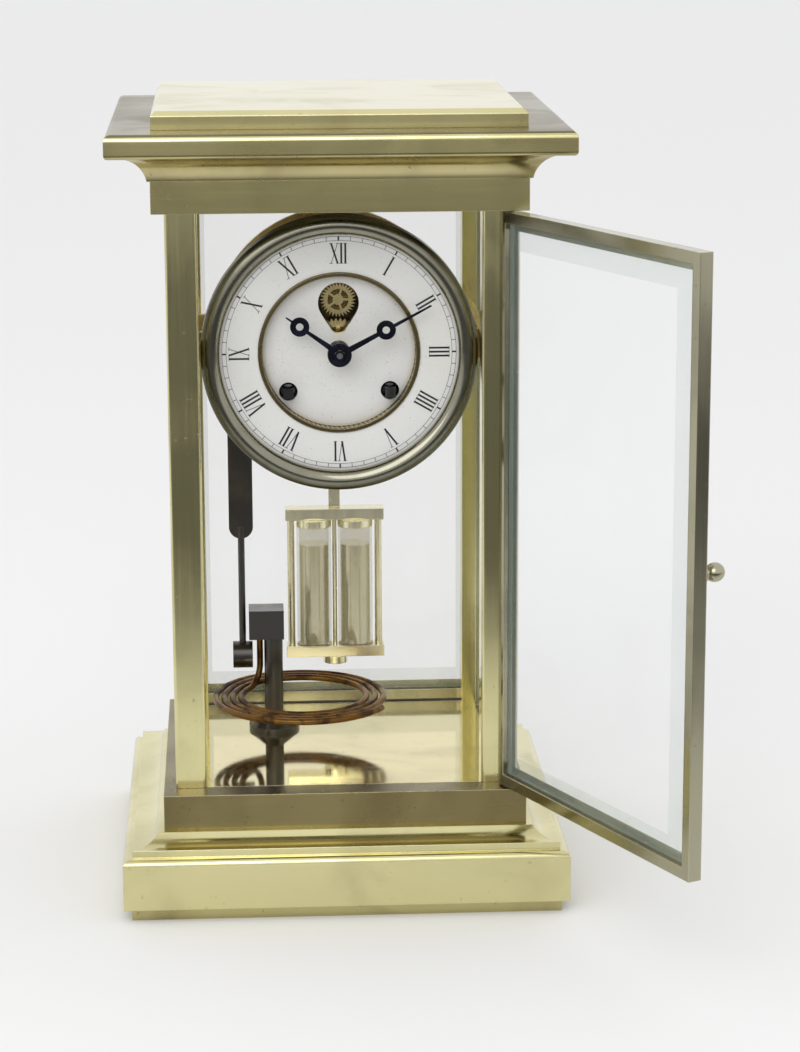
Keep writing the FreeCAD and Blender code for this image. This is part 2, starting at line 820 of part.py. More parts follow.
DIAL_Z = "dial_height"
CENTRE = ("0", "0")
BARREL = ("winding_x", "-winding_drop")
STRIKE_BARREL = ("-winding_x", "-winding_drop")
SECOND = ("second_x", "second_rise")
THIRD = ("third_x", "third_rise")
ESCAPE = ("0", "escape_rise")
MINUTE = ("minute_x", "minute_rise")
PIN = ("pin_x", "pin_rise")
FLY = ("fly_x", "fly_rise")
CORNERS = {
    "front_left": (-1, -1), "front_right": (1, -1),
    "rear_left": (-1, 1), "rear_right": (1, 1),
}


def corner_rods(name, radius, low, high):
    """Upright rods at the four post centres."""
    return [
        rod(f"{name}_{corner}", radius, f"{side} * post_x", f"{face} * post_y", (low, high))
        for corner, (side, face) in CORNERS.items()
    ]


def hinge_spots():
    """Hinge axes: the front door's at the right, the back door's at the left."""
    return {"front": ("hinge_x", "-hinge_y"), "back": ("-hinge_x", "hinge_y")}


def make_base():
    moulding = stacked("base_moulding", "rail_x", "rail_y", "base_overhang", [
        ("base_overhang - base_lip_inset", "0"),
        ("base_overhang - base_lip_inset", "base_lip_height"),
        ("base_overhang", "base_lip_height"),
        ("base_overhang", "plinth_height - base_round"),
        ("base_overhang - base_round", "plinth_height", "base_round", 1),
        ("base_overhang - base_step_inset", "plinth_height"),
        ("base_overhang - base_step_inset", "step_top"),
        ("base_overhang - base_step_inset - base_cove_inset", "step_top"),
        ("base_cove_foot", "base_top", "base_cove_radius", -1),
    ])
    wall_x = "rail_x + base_overhang - base_lip_inset - base_wall"
    wall_y = "rail_y + base_overhang - base_lip_inset - base_wall"
    depth = ("-base_deck", "base_top - base_deck")
    hollow = block("base_hollow", span_both(wall_x), span_both(wall_y), depth)
    holes = corner_rods("base_hole", "tenon_radius + tenon_play", "0", "base_top + base_deck")
    keep("base_plinth", cut("base_plinth", moulding, hollow, *holes))


def span_both(half):
    return (f"-({half})", half)


def rail_ring(name, low, high):
    outer = block(name + "_outer", span_both("rail_x"), span_both("rail_y"), (low, high))
    inner = block(
        name + "_inner", span_both("rail_x - rail_width"), span_both("rail_y - rail_width"), (low, high))
    return cut(name + "_ring", outer, inner)


def hinge_holes(name, low, high):
    return [
        rod(f"{name}_{side}", "hinge_pin_radius + pin_press", x, y, (low, high))
        for side, (x, y) in hinge_spots().items()
    ]


def make_rails():
    low = rail_ring("lower", "base_top", "rail_top")
    seat_x = "rail_x - rail_width + floor_seat"
    seat_y = "rail_y - rail_width + floor_seat"
    depth = ("rail_top - floor_thickness", "rail_top")
    seat = block("floor_recess", span_both(seat_x), span_both(seat_y), depth)
    holes = corner_rods("rail_hole", "tenon_radius + tenon_play", "base_top", "rail_top")
    pins = hinge_holes("rail_pin_hole", "rail_top - hinge_pin_seat", "rail_top")
    keep("lower_rail", cut("lower_rail", low, seat, *holes, *pins))
    across = span_both(f"{seat_x} - floor_play")
    along = span_both(f"{seat_y} - floor_play")
    floor = block("floor_sheet", across, along, depth)
    notches = corner_rods("floor_notch", "tenon_radius + tenon_play", "base_top", "rail_top")
    keep("floor_plate", cut("floor_plate", floor, *notches))
    high = rail_ring("upper", "post_top", "frieze_top")
    holes = corner_rods("frieze_hole", "tenon_radius + tenon_play", "post_top", "frieze_top")
    pins = hinge_holes("frieze_pin_hole", "post_top", "post_top + hinge_pin_seat")
    keep("upper_rail", cut("upper_rail", high, *holes, *pins))


def make_cornice():
    moulding = stacked("cornice_moulding", "rail_x", "rail_y", "cornice_overhang", [
        ("cornice_cove_foot", "frieze_top"),
        ("cornice_overhang - 2 * cornice_fillet", "cove_top", "cornice_cove_radius", -1),
        ("cornice_overhang - cornice_fillet", "cove_top"),
        ("cornice_overhang", "cove_top + cornice_fillet", "cornice_fillet", 1),
        ("cornice_overhang", "cornice_top - cornice_round"),
        ("cornice_overhang - cornice_round", "cornice_top", "cornice_round", 1),
    ])
    inner_x = "post_inner_x - cornice_wall"
    inner_y = "post_inner_y - cornice_wall"
    depth = ("post_top", "cornice_top - cornice_deck")
    hollow = block("cornice_hollow", span_both(inner_x), span_both(inner_y), depth)
    holes = corner_rods(
        "cornice_hole", "tenon_radius + tenon_play", "post_top", "frieze_top + tenon_head + tenon_play")
    keep("cornice", cut("cornice", moulding, hollow, *holes))
    keep("cornice_cap", stacked("cornice_cap", "rail_x", "rail_y", "cap_inset", [
        ("-cap_inset", "cornice_top"),
        ("-cap_inset", "cap_top - cap_bevel"),
        ("-cap_inset - cap_bevel", "cap_top"),
    ]))


def make_posts():
    for corner, (side, face) in CORNERS.items():
        turn = side * face
        shape = [
            ("post_inner_x", "post_inner_y"),
            ("glass_inner_x - glass_play", "post_inner_y"),
            ("glass_inner_x - glass_play", "post_inner_y + groove_depth"),
            ("glass_outer_x + glass_play", "post_inner_y + groove_depth"),
            ("glass_outer_x + glass_play", "post_inner_y"),
            ("post_outer_x", "post_inner_y"),
            ("post_outer_x", "post_outer_y - post_round"),
            ("post_outer_x - post_round", "post_outer_y", "post_round", turn),
            ("post_inner_x + post_round", "post_outer_y"),
            ("post_inner_x", "post_outer_y - post_round", "post_round", turn),
        ]
        outline = [(f"{side} * ({spot[0]})", f"{face} * ({spot[1]})", *spot[2:]) for spot in shape]
        shaft = place(prism(f"{corner}_shaft", "XY_Plane", outline, "post_height"), z="rail_top")
        spot = (f"{side} * post_x", f"{face} * post_y")
        foot = ("base_top - base_deck - tenon_tail", "rail_top")
        tenons = [
            rod(f"{corner}_foot_tenon", "tenon_radius", *spot, foot),
            rod(f"{corner}_head_tenon", "tenon_radius", *spot, ("post_top", "frieze_top + tenon_head")),
        ]
        keep(f"post_{corner}", fuse(f"post_{corner}", shaft, *tenons))
    nuts = [
        nut(
            f"post_nut_{corner}", "post_nut_radius", "tenon_radius + pin_press", f"{side} * post_x",
            f"{face} * post_y", ("base_top - base_deck - post_nut_height", "base_top - base_deck"))
        for corner, (side, face) in CORNERS.items()
    ]
    keep("post_nuts", group("post_nuts", *nuts))


def pane(name, half_width, half_height, thickness):
    """Bevelled pane lying flat, its plain face down and its bevels up."""
    return stacked(name, half_width, half_height, "0", [
        ("0", "0"),
        ("0", "bevel_edge"),
        ("-bevel_width", thickness),
    ])


def make_side_glass():
    half_height = "(post_height - 2 * glass_play) / 2"
    for name, side in (("left", -1), ("right", 1)):
        half_depth = "post_inner_y + groove_depth - glass_play"
        flat = pane(f"side_pane_{name}", half_height, half_depth, "glass_thickness")
        turn = Rotation(Vector(0, 1, 0), 90 * side)
        place(flat, f"{side} * glass_inner_x", "0", f"rail_top + {half_height}", turn)
        keep(f"side_glass_{name}", flat)


def hang(item, door):
    """Set a piece that is drawn about the hinge axis on its door."""
    x, y = hinge_spots()[door]
    angle = "door_open_angle" if door == "front" else "180"
    place(item, x, y, "0", Rotation(Vector(0, 0, 1), value(angle)))
    item.setExpression("Placement.Rotation.Angle", bound(angle))
    return item


def make_door(door):
    low = "door_low"
    high = "door_high"
    leaf = block(f"{door}_leaf", ("-leaf", "0"), span_both("door_half"), (low, high))
    edge = rod(f"{door}_hinge_edge", "door_half", "0", "0", (low, high))
    left = "door_stile - leaf"
    right = "door_half - door_stile"
    half_width = f"({right} - ({left})) / 2"
    half_height = f"({high} - {low}) / 2 - door_rail"
    opening = stacked(
        f"{door}_opening", half_width, half_height, "door_moulding", [
            ("door_moulding", "0"),
            ("0", "door_moulding"),
            ("0", "2 * door_thickness"),
        ])
    middle = (f"({left} + {right}) / 2", f"({low} + {high}) / 2")
    place(opening, middle[0], "-door_half", middle[1], Rotation(Vector(1, 0, 0), -90))
    seat_low = f"{low} + door_rail - door_rabbet"
    seat_high = f"{high} - door_rail + door_rabbet"
    rabbet = block(
        f"{door}_rabbet", (f"{left} - door_rabbet", f"{right} + door_rabbet"),
        ("door_lip - door_half", "door_thickness"), (seat_low, seat_high))
    bores = [
        rod(f"{door}_bore_{name}", "hinge_pin_radius + running_play", "0", "0", bounds)
        for name, bounds in (
            ("low", (low, f"{low} + hinge_pin_reach")), ("high", (f"{high} - hinge_pin_reach", high)))
    ]
    knob_x = "door_stile / 2 - leaf"
    knob_hole = rod(
        f"{door}_knob_hole", "knob_shank + pin_press", knob_x, ("-door_half", "door_lip"), "knob_height")
    frame = cut(f"{door}_frame", fuse(f"{door}_slab", leaf, edge), opening, rabbet, *bores, knob_hole)
    keep(f"{door}_door_frame", hang(frame, door))
    half_width = f"({right} - ({left}) + 2 * door_rabbet) / 2 - glass_play"
    half_height = f"({seat_high} - ({seat_low})) / 2 - glass_play"
    flat = pane(f"{door}_pane", half_width, half_height, "door_glass_thickness")
    place(flat, middle[0], "door_lip - door_half", middle[1], Rotation(Vector(1, 0, 0), -90))
    keep(f"{door}_door_glass", hang(group(f"{door}_glass", flat), door))
    knob = turned(f"{door}_knob_turning", "y", [
        ("0", "0"),
        ("knob_shank", "0"),
        ("knob_shank", "door_lip"),
        ("knob_collar", "door_lip"),
        ("knob_collar", "door_lip + knob_collar_height"),
        ("knob_neck", "door_lip + knob_collar_height"),
        ("knob_neck", "door_lip + knob_neck_length"),
        ("knob_radius", "door_lip + knob_neck_length + knob_radius", "knob_radius", 1),
        ("0", "door_lip + knob_neck_length + 2 * knob_radius", "knob_radius", 1),
    ])
    place(knob, knob_x, "door_lip - door_half", "knob_height", Rotation(Vector(0, 0, 1), 180))
    keep(f"{door}_door_knob", hang(group(f"{door}_knob", knob), door))


def make_hinge_pins():
    pins = []
    for door, (x, y) in hinge_spots().items():
        pins.append(rod(f"{door}_pin_low", "hinge_pin_radius", x, y,
                        ("rail_top - hinge_pin_seat", "door_low + hinge_pin_reach - door_play")))
        pins.append(rod(f"{door}_pin_high", "hinge_pin_radius", x, y,
                        ("door_high - hinge_pin_reach + door_play", "post_top + hinge_pin_seat")))
    keep("hinge_pins", group("hinge_pins", *pins))


def aperture(name):
    """Cutter for the escapement opening: two circles joined by their common tangents."""
    lean = "((aperture_top_radius - aperture_low_radius) / (aperture_top_rise - aperture_low_rise))"
    reach = f"sqrt(1 - {lean} ^ 2)"
    top = (f"aperture_top_radius * {reach}", f"aperture_top_rise - aperture_top_radius * {lean}")
    low = (f"aperture_low_radius * {reach}", f"aperture_low_rise - aperture_low_radius * {lean}")
    outline = [
        low,
        top,
        ("0", "aperture_top_rise + aperture_top_radius", "aperture_top_radius", 1),
        (f"-({top[0]})", top[1], "aperture_top_radius", 1),
        (f"-({low[0]})", low[1]),
        ("0", "aperture_low_rise - aperture_low_radius", "aperture_low_radius", 1),
        (*low, "aperture_low_radius", 1),
    ]
    return plate(name, "ring_front", "dial_back", outline[1:], z=DIAL_Z)


def dial_holes(name, centre_hole):
    """Cutters through the dial: hand pipe, winding squares and escapement opening."""
    bounds = ("ring_front", "dial_back")
    return [
        rod(f"{name}_pipe_hole", centre_hole, "0", bounds, DIAL_Z),
        rod(f"{name}_left_hole", "winding_hole", "-winding_x", bounds, "dial_height - winding_drop"),
        rod(f"{name}_right_hole", "winding_hole", "winding_x", bounds, "dial_height - winding_drop"),
        aperture(f"{name}_aperture"),
    ]


def make_dial():
    bezel = turned("dial_bezel", "y", [
        ("bezel_lip_radius", "0"),
        ("bezel_radius", "0", "bezel_round", 1),
        ("bezel_radius", "dial_seat - bezel_edge"),
        ("seat_radius", "dial_seat - bezel_edge"),
        ("seat_radius", "bezel_lip_depth"),
        ("bezel_lip_radius", "bezel_lip_depth"),
    ], y="bezel_edge", z=DIAL_Z)
    keep("dial_bezel", bezel)
    disc = rod("ring_disc", "ring_radius", "0", ("ring_front", "ring_back"), DIAL_Z)
    hole = rod("ring_hole", "gilt_radius + ring_play", "0", ("ring_front", "ring_back"), DIAL_Z)
    keep("dial_ring", cut("dial_ring", disc, hole))
    bounds = ("dial_seat - centre_thickness", "dial_seat")
    centre = rod("centre_disc", "centre_radius - ring_play", "0", bounds, DIAL_Z)
    keep("dial_centre", cut("dial_centre", centre, *dial_holes("centre", "dial_hole")))
    # The backing plate carries the ring's outer seat and the gilt ring round the recess.
    sheet = turned("dial_sheet", "y", [
        ("0", "dial_back - dial_seat"),
        ("0", "0"),
        ("centre_radius", "0"),
        ("centre_radius", "ring_front - dial_seat - gilt_rise"),
        ("gilt_radius", "ring_front - dial_seat - gilt_rise"),
        ("gilt_radius", "ring_back - dial_seat"),
        ("gilt_radius + gilt_flange", "ring_back - dial_seat"),
        ("gilt_radius + gilt_flange", "0"),
        ("ring_radius - ring_seat_width", "0"),
        ("ring_radius - ring_seat_width", "ring_back - dial_seat"),
        ("ring_radius", "ring_back - dial_seat"),
        ("ring_radius", "0"),
        ("bezel_radius - dial_plate_margin", "0"),
        ("bezel_radius - dial_plate_margin", "dial_back - dial_seat"),
    ], y="dial_seat", z=DIAL_Z)
    feet = []
    for index, angle in enumerate((30, 150, 210, 330)):
        feet.append(rod(
            f"dial_foot_{index}", "dial_foot_radius", f"dial_foot_reach * cos({angle})",
            ("dial_back", "plate_front"), up(f"dial_foot_reach * sin({angle})")))
    pierced = cut("dial_pierced", sheet, *dial_holes("sheet", "dial_hole"))
    keep("dial_plate", fuse("dial_plate", pierced, *feet))


def pillar_spots():
    spots = []
    for angle in ("upper_pillar_angle", "lower_pillar_angle"):
        for side in (1, -1):
            spots.append((f"{side} * pillar_reach * cos({angle})", f"pillar_reach * sin({angle})"))
    return spots


def carrier_screw_spots():
    reach = "plate_radius - carrier_overlap / 2"
    return [(f"{side} * ({reach})", "0") for side in (1, -1)]


def make_plates():
    play = "running_play"
    shared = [
        (*SECOND, f"pivot_radius + {play}"),
        (*THIRD, f"pivot_radius + {play}"),
        (*PIN, f"pivot_radius + {play}"),
        (*FLY, f"pivot_radius + {play}"),
        *[(x, z, "pillar_end_radius + tenon_play") for x, z in pillar_spots()],
        *[(x, z, "screw_radius + pin_press") for x, z in carrier_screw_spots()],
        ("0", "0", f"centre_arbor + {play}"),
        ("0", "swing_rise", f"anchor_hub_radius + {play}"),
    ]
    disc = ("0", "0", "plate_radius")
    front = [
        (*BARREL, f"winding_radius + {play}"),
        (*STRIKE_BARREL, f"winding_radius + {play}"),
        ("0", "escape_rise", f"anchor_hub_radius + {play}"),
        ("hammer_x", "-hammer_drop", f"pivot_radius + {play}"),
    ]
    rear = [
        (*BARREL, f"winding_pivot + {play}"),
        (*STRIKE_BARREL, f"winding_pivot + {play}"),
        ("0", "escape_rise", f"pivot_radius + {play}"),
        ("hammer_x", "-hammer_drop", f"hammer_arbor + {play}"),
    ]
    sheet = plate("front_sheet", "plate_front", "plate_back", [], [disc, *shared, *front], z=DIAL_Z)
    stud = rod(
        "minute_stud", "arbor_radius", "minute_x", ("hour_front - pinion_overhang", "plate_back"),
        up("minute_rise"))
    keep("front_plate", fuse("front_plate", sheet, stud))
    keep("rear_plate", plate("rear_plate", "rear_front", "rear_back", [], [disc, *shared, *rear], z=DIAL_Z))


def make_pillars():
    pillars = []
    nuts = []
    for index, (x, z) in enumerate(pillar_spots()):
        pillars.append(turned(f"pillar_{index}", "y", [
            ("0", "0"),
            ("pillar_end_radius", "0"),
            ("pillar_end_radius", "plate_thickness + plate_nut_height"),
            ("pillar_radius", "plate_thickness + plate_nut_height"),
            ("pillar_radius", "plate_thickness + plate_nut_height + pillar_shoulder"),
            ("pillar_waist", "plate_thickness + plate_nut_height + 2 * pillar_shoulder"),
            ("pillar_waist", "plate_thickness + plate_nut_height + plate_gap - 2 * pillar_shoulder"),
            ("pillar_radius", "plate_thickness + plate_nut_height + plate_gap - pillar_shoulder"),
            ("pillar_radius", "plate_thickness + plate_nut_height + plate_gap"),
            ("pillar_end_radius", "plate_thickness + plate_nut_height + plate_gap"),
            ("pillar_end_radius", "2 * (plate_thickness + plate_nut_height) + plate_gap"),
            ("0", "2 * (plate_thickness + plate_nut_height) + plate_gap"),
        ], x, "plate_front - plate_nut_height", up(z)))
        for end, bounds in (
                ("front", ("plate_front - plate_nut_height", "plate_front")),
                ("rear", ("rear_back", "rear_back + plate_nut_height"))):
            nuts.append(nut(
                f"plate_nut_{end}_{index}", "plate_nut_radius", "pillar_end_radius + pin_press",
                x, bounds, up(z)))
    keep("plate_pillars", group("plate_pillars", *pillars))
    keep("plate_nuts", group("plate_nuts", *nuts))


def make_carriers():
    """Side bars between the posts, with lugs that hold the movement's two plates."""
    bars = []
    screws = []
    outer = "glass_inner_x - carrier_glass_gap"
    inner = f"{outer} - carrier_thickness"
    z = ("dial_height - carrier_height / 2", "dial_height + carrier_height / 2")
    lug_planes = {
        "front": ("plate_front - carrier_lug", "plate_front"),
        "rear": ("rear_back", "rear_back + carrier_lug"),
    }
    for name, side in (("left", -1), ("right", 1)):
        pieces = [block(f"carrier_{name}_bar", span(side, inner, outer), span_both("post_inner_y"), z)]
        holes = []
        lug = span(side, "plate_radius - carrier_overlap", inner)
        screw_x = f"{side} * (plate_radius - carrier_overlap / 2)"
        for end, (front, back) in lug_planes.items():
            pieces.append(block(f"carrier_{name}_{end}", lug, (front, back), z))
            holes.append(rod(
                f"carrier_{name}_{end}_hole", "screw_radius + pin_press", screw_x, (front, back), DIAL_Z))
            if end == "front":
                reach = (front, "plate_back")
                head = (f"{front} - screw_head_height", front)
            else:
                reach = ("rear_front", back)
                head = (back, f"{back} + screw_head_height")
            screws.append(fuse(
                f"carrier_screw_{name}_{end}",
                rod(f"carrier_shank_{name}_{end}", "screw_radius", screw_x, reach, DIAL_Z),
                rod(f"carrier_head_{name}_{end}", "screw_head_radius", screw_x, head, DIAL_Z)))
        bars.append(cut(f"carrier_{name}", fuse(f"carrier_{name}_blank", *pieces), *holes))
    keep("movement_carriers", group("movement_carriers", *bars))
    keep("carrier_screws", group("carrier_screws", *screws))


def make_barrels():
    """Spring barrels, each with its great wheel, and the winding arbors that pass through them."""
    for name, spot in (("going", BARREL), ("strike", STRIKE_BARREL)):
        x, z = spot[0], up(spot[1])
        bore = "winding_radius + running_play"
        drum = fuse(
            f"{name}_drum",
            rod(f"{name}_drum_wall", "drum_radius", x, ("drum_front", "drum_back"), z),
            rod(f"{name}_drum_boss", "drum_boss_radius", x, ("drum_front - drum_boss", "great_back"), z))
        toothed = tooth_outline(
            int(value("great_teeth")), value("great_module"), value("wheel_reach_share"),
            value("wheel_root_share"), 1, 0.0)
        rim = flat_solid(f"{name}_great_wheel", [toothed], "drum_back", "great_back", x, z)
        hole = rod(f"{name}_barrel_bore", bore, x, ("drum_front - drum_boss", "great_back"), z)
        keep(f"{name}_barrel", cut(f"{name}_barrel", fuse(f"{name}_barrel_blank", drum, rim), hole))
        staff = arbor(
            f"{name}_winding_staff", x, z,
            ("winding_radius", "winding_front + winding_square_length", "great_back + running_play"),
            ("winding_pivot", "great_back", "rear_back"))
        half = "winding_square / 2"
        square = block(
            f"{name}_winding_square", (f"{x} - {half}", f"{x} + {half}"),
            ("winding_front", "winding_front + winding_square_length"), (f"{z} - {half}", f"{z} + {half}"))
        teeth = int(value("ratchet_teeth"))
        tip = value("ratchet_radius")
        saw = saw_outline(teeth, tip, tip - value("ratchet_depth"), value("ratchet_lean_share"))
        ratchet = flat_solid(
            f"{name}_ratchet", [saw], "plate_front - ratchet_setback - ratchet_thickness",
            "plate_front - ratchet_setback", x, z)
        keep(f"{name}_winding_arbor", fuse(f"{name}_winding_arbor", staff, square, ratchet))


def train_arbor(name, spot, radius, leaves, module, mesh_front, mesh_back, phase, *steps):
    """Steel arbor with its pinion and any stepped ends."""
    x, z = spot[0], up(spot[1])
    leaf = pinion(f"{name}_pinion", leaves, module, mesh_front, mesh_back, x, z, phase)
    shaft = arbor(f"{name}_shaft", x, z, *steps)
    return fuse(f"{name}_arbor", shaft, leaf)


def between_plates(radius):
    """Steps of an arbor that runs between the plates on two pivots."""
    return [
        ("pivot_radius", "plate_front", "rear_back"),
        (radius, "plate_back + running_play", "rear_front - running_play"),
    ]


def over(front, thickness):
    """Pinion's length, a little past both faces of the wheel that it meets."""
    return f"{front} - pinion_overhang", f"{front} + {thickness} + pinion_overhang"


def make_going_train():
    # Intermediate wheel: driven by the barrel, drives the centre pinion.
    phase = meshed("great_teeth", 0.0, BARREL, "second_leaves", SECOND)
    shaft = train_arbor(
        "second", SECOND, "second_arbor", "second_leaves", "great_module",
        *over("drum_back", "great_thickness"), phase, *between_plates("second_arbor"))
    rim = wheel(
        "second_rim", "second_teeth", "second_module", "second_arbor",
        "second_front", "second_front + wheel_thickness", SECOND[0], up(SECOND[1]))
    keep("intermediate_wheel", group("intermediate_wheel", rim, shaft))
    # Centre wheel: its arbor carries the cannon pinion in front of the dial.
    phase = meshed("second_teeth", 0.0, SECOND, "centre_leaves", CENTRE)
    shaft = train_arbor(
        "centre", CENTRE, "centre_arbor", "centre_leaves", "second_module",
        *over("second_front", "wheel_thickness"), phase,
        ("centre_arbor", "plate_front", "rear_back"), ("centre_nose", "nut_front", "plate_front"))
    rim = wheel(
        "centre_rim", "centre_teeth", "centre_module", "centre_arbor",
        "centre_front", "centre_front + wheel_thickness", "0", DIAL_Z)
    keep("centre_wheel", group("centre_wheel", rim, shaft))
    # Third wheel
    phase = meshed("centre_teeth", 0.0, CENTRE, "third_leaves", THIRD)
    shaft = train_arbor(
        "third", THIRD, "arbor_radius", "third_leaves", "centre_module",
        *over("centre_front", "wheel_thickness"), phase, *between_plates("arbor_radius"))
    rim = wheel(
        "third_rim", "third_teeth", "third_module", "arbor_radius",
        "third_front", "third_front + wheel_thickness", THIRD[0], up(THIRD[1]))
    keep("third_wheel", group("third_wheel", rim, shaft))
    # Escape wheel: it turns in the dial's opening, in front of the bridge.
    phase = meshed("third_teeth", 0.0, THIRD, "escape_leaves", ESCAPE)
    shaft = train_arbor(
        "escape", ESCAPE, "arbor_radius", "escape_leaves", "third_module",
        "third_front - third_setback / 2", "third_front + wheel_thickness + pinion_overhang", phase,
        ("arbor_radius", "escape_front", "rear_front - running_play"),
        ("pivot_radius", "rear_front - pinion_overhang", "rear_back"))
    tip = value("escape_radius")
    root = value("escape_radius - escape_tooth")
    saw = saw_outline(int(value("escape_teeth")), tip, root, value("escape_lean_share"))
    windows = spoke_windows(
        value("arbor_radius + hub_width / 2"), root - value("rim_width / 2"), value("spoke_width / 2"), 5)
    rim = flat_solid(
        "escape_rim", [saw, ring_wire(value("arbor_radius")), *windows], "escape_front", "escape_back",
        "0", up("escape_rise"))
    keep("escape_wheel", group("escape_wheel", rim, shaft))


def make_motion_work():
    """Twelve-to-one gearing between the two hands, in front of the front plate."""
    leaf = pinion(
        "cannon_leaves", "cannon_teeth", "cannon_module", "minute_front - pinion_overhang",
        "minute_back + pinion_overhang", "0", DIAL_Z, 0.0, bore="centre_nose + pin_press")
    tube = rod("cannon_tube", "cannon_radius", "0", ("minute_hand_front", "minute_back"), DIAL_Z)
    bounds = ("minute_hand_front", "minute_back + pinion_overhang")
    hole = rod("cannon_bore", "centre_nose + pin_press", "0", bounds, DIAL_Z)
    keep("cannon_pinion", cut("cannon_pinion", fuse("cannon_blank", tube, leaf), hole))
    x, z = MINUTE[0], up(MINUTE[1])
    bore = "arbor_radius + running_play"
    phase = meshed("cannon_teeth", 0.0, CENTRE, "minute_teeth", MINUTE)
    rim = wheel(
        "minute_rim", "minute_teeth", "cannon_module", bore, "minute_front", "minute_back", x, z, phase, 4)
    leaf = pinion(
        "minute_leaf", "minute_leaves", "hour_module", "hour_front - pinion_overhang / 2", "minute_front",
        x, z, 0.0, bore)
    keep("minute_wheel", fuse("minute_wheel", rim, leaf))
    phase = meshed("minute_leaves", 0.0, MINUTE, "hour_teeth", CENTRE)
    bore = "cannon_radius + running_play"
    rim = wheel(
        "hour_rim", "hour_teeth", "hour_module", bore, "hour_front", "hour_back", "0", DIAL_Z, phase, 4)
    bounds = ("hour_hand_front", "hour_back")
    pipe = cut(
        "hour_pipe", rod("hour_pipe_outer", "hour_pipe_radius", "0", bounds, DIAL_Z),
        rod("hour_pipe_bore", bore, "0", bounds, DIAL_Z))
    keep("hour_wheel", fuse("hour_wheel", rim, pipe))


def make_hand(name, front, back, length, moon_reach, bore, angle):
    """Slender hand with a pierced moon, drawn upright and turned to its hour."""
    thickness = f"({back}) - ({front})"
    half_root = "hand_root_width / 2"
    half_tip = "hand_tip_width / 2"
    needle = prism(f"{name}_needle", "XY_Plane", [
        (f"-{half_root}", "-hand_hub_radius / 2"),
        (half_root, "-hand_hub_radius / 2"),
        (half_tip, length),
        (f"-{half_tip}", length),
    ], thickness)
    hub = rod(f"{name}_hub", "hand_hub_radius", "0", "0", ("0", thickness))
    moon = rod(f"{name}_moon", "moon_radius", "0", moon_reach, ("0", thickness))
    pierced = cut(
        f"{name}_pierced", fuse(f"{name}_blank", needle, hub, moon),
        rod(f"{name}_bore", bore, "0", "0", ("0", thickness)),
        rod(f"{name}_eye", "moon_hole", "0", moon_reach, ("0", thickness)))
    turn = TILT.multiply(Rotation(Vector(0, 0, 1), -value(angle)))
    keep(name, place(pierced, "0", back, DIAL_Z, turn))


def make_hands():
    make_hand("hour_hand", "hour_hand_front", "hour_hand_back", "hour_hand_length", "hour_moon_reach",
              "hour_pipe_radius", "hour_hand_angle")
    make_hand("minute_hand", "minute_hand_front", "minute_hand_back", "minute_hand_length",
              "minute_moon_reach", "cannon_radius", "minute_hand_angle")
    bounds = ("nut_front", "minute_hand_front")
    keep("hand_nut", nut("hand_nut", "hand_nut_radius", "centre_nose + pin_press", "0", bounds, DIAL_Z))


def make_escapement():
    """Anchor over the escape wheel, its arbor and crutch, and the bridge that carries both front pivots."""
    arm = "(escape_radius + pallet_radius + pallet_clearance) * sqrt(0.5)"
    pallet_drop = f"(anchor_rise - {arm})"
    half = "anchor_arm_width / 2"
    shape = plate("anchor_frame", "escape_front", "escape_back", [
        ("0", half),
        (f"{arm} + {half}", f"{half} - {pallet_drop}"),
        (f"{arm} + {half}", f"-{pallet_drop}"),
        (f"{arm} - {half}", f"-{pallet_drop}"),
        (f"{arm} - {half}", f"-{pallet_drop} + {half}"),
        ("0", "-anchor_hub_radius"),
        (f"{half} - {arm}", f"-{pallet_drop} + {half}"),
        (f"{half} - {arm}", f"-{pallet_drop}"),
        (f"-{arm} - {half}", f"-{pallet_drop}"),
        (f"-{arm} - {half}", f"{half} - {pallet_drop}"),
    ], z="swing_z")
    hub = rod("anchor_hub", "anchor_hub_radius", "0", ("escape_front", "escape_back"), "swing_z")
    pallets = [
        rod(f"pallet_{index}", "pallet_radius", f"{side} * {arm}", ("escape_front", "escape_back"),
            f"swing_z - {pallet_drop}")
        for index, side in enumerate((1, -1))
    ]
    staff = arbor(
        "anchor_staff", "0", "swing_z", ("arbor_radius", "escape_back", "cock_front - running_play"),
        ("pivot_radius", "crutch_back", "cock_back"))
    crutch = block(
        "crutch_arm", span_both("crutch_width / 2"), ("crutch_front", "crutch_back"),
        ("swing_z - crutch_length", "swing_z + crutch_width"))
    pin = rod(
        "crutch_pin", "crutch_pin_radius", "0", ("crutch_front", "pendulum_y + rod_thickness"),
        "swing_z - crutch_length + crutch_width")
    keep("anchor", fuse("anchor", shape, hub, *pallets, staff, crutch, pin))
    low = "escape_rise - bridge_margin"
    high = "swing_rise + bridge_margin"
    depth = ("bridge_front", "bridge_back")
    bar = block("bridge_bar", span_both("bridge_margin"), depth, (up(low), up(high)))
    middle = "(escape_rise + swing_rise) / 2"
    wing = block(
        "bridge_wing", span_both("bridge_width / 2"), depth,
        (up(f"{middle} - bridge_margin"), up(f"{middle} + bridge_margin")))
    feet = []
    for index, side in enumerate((1, -1)):
        feet.append(rod(
            f"bridge_foot_{index}", "bridge_foot_radius", f"{side} * bridge_foot_reach",
            ("bridge_back", "plate_front"), up(middle)))
    bore = "arbor_radius + running_play"
    holes = [
        rod(f"bridge_bore_{index}", bore, "0", depth, up(rise))
        for index, rise in enumerate(("escape_rise", "swing_rise"))
    ]
    keep("escape_bridge", cut("escape_bridge", fuse("bridge_blank", bar, wing, *feet), *holes))


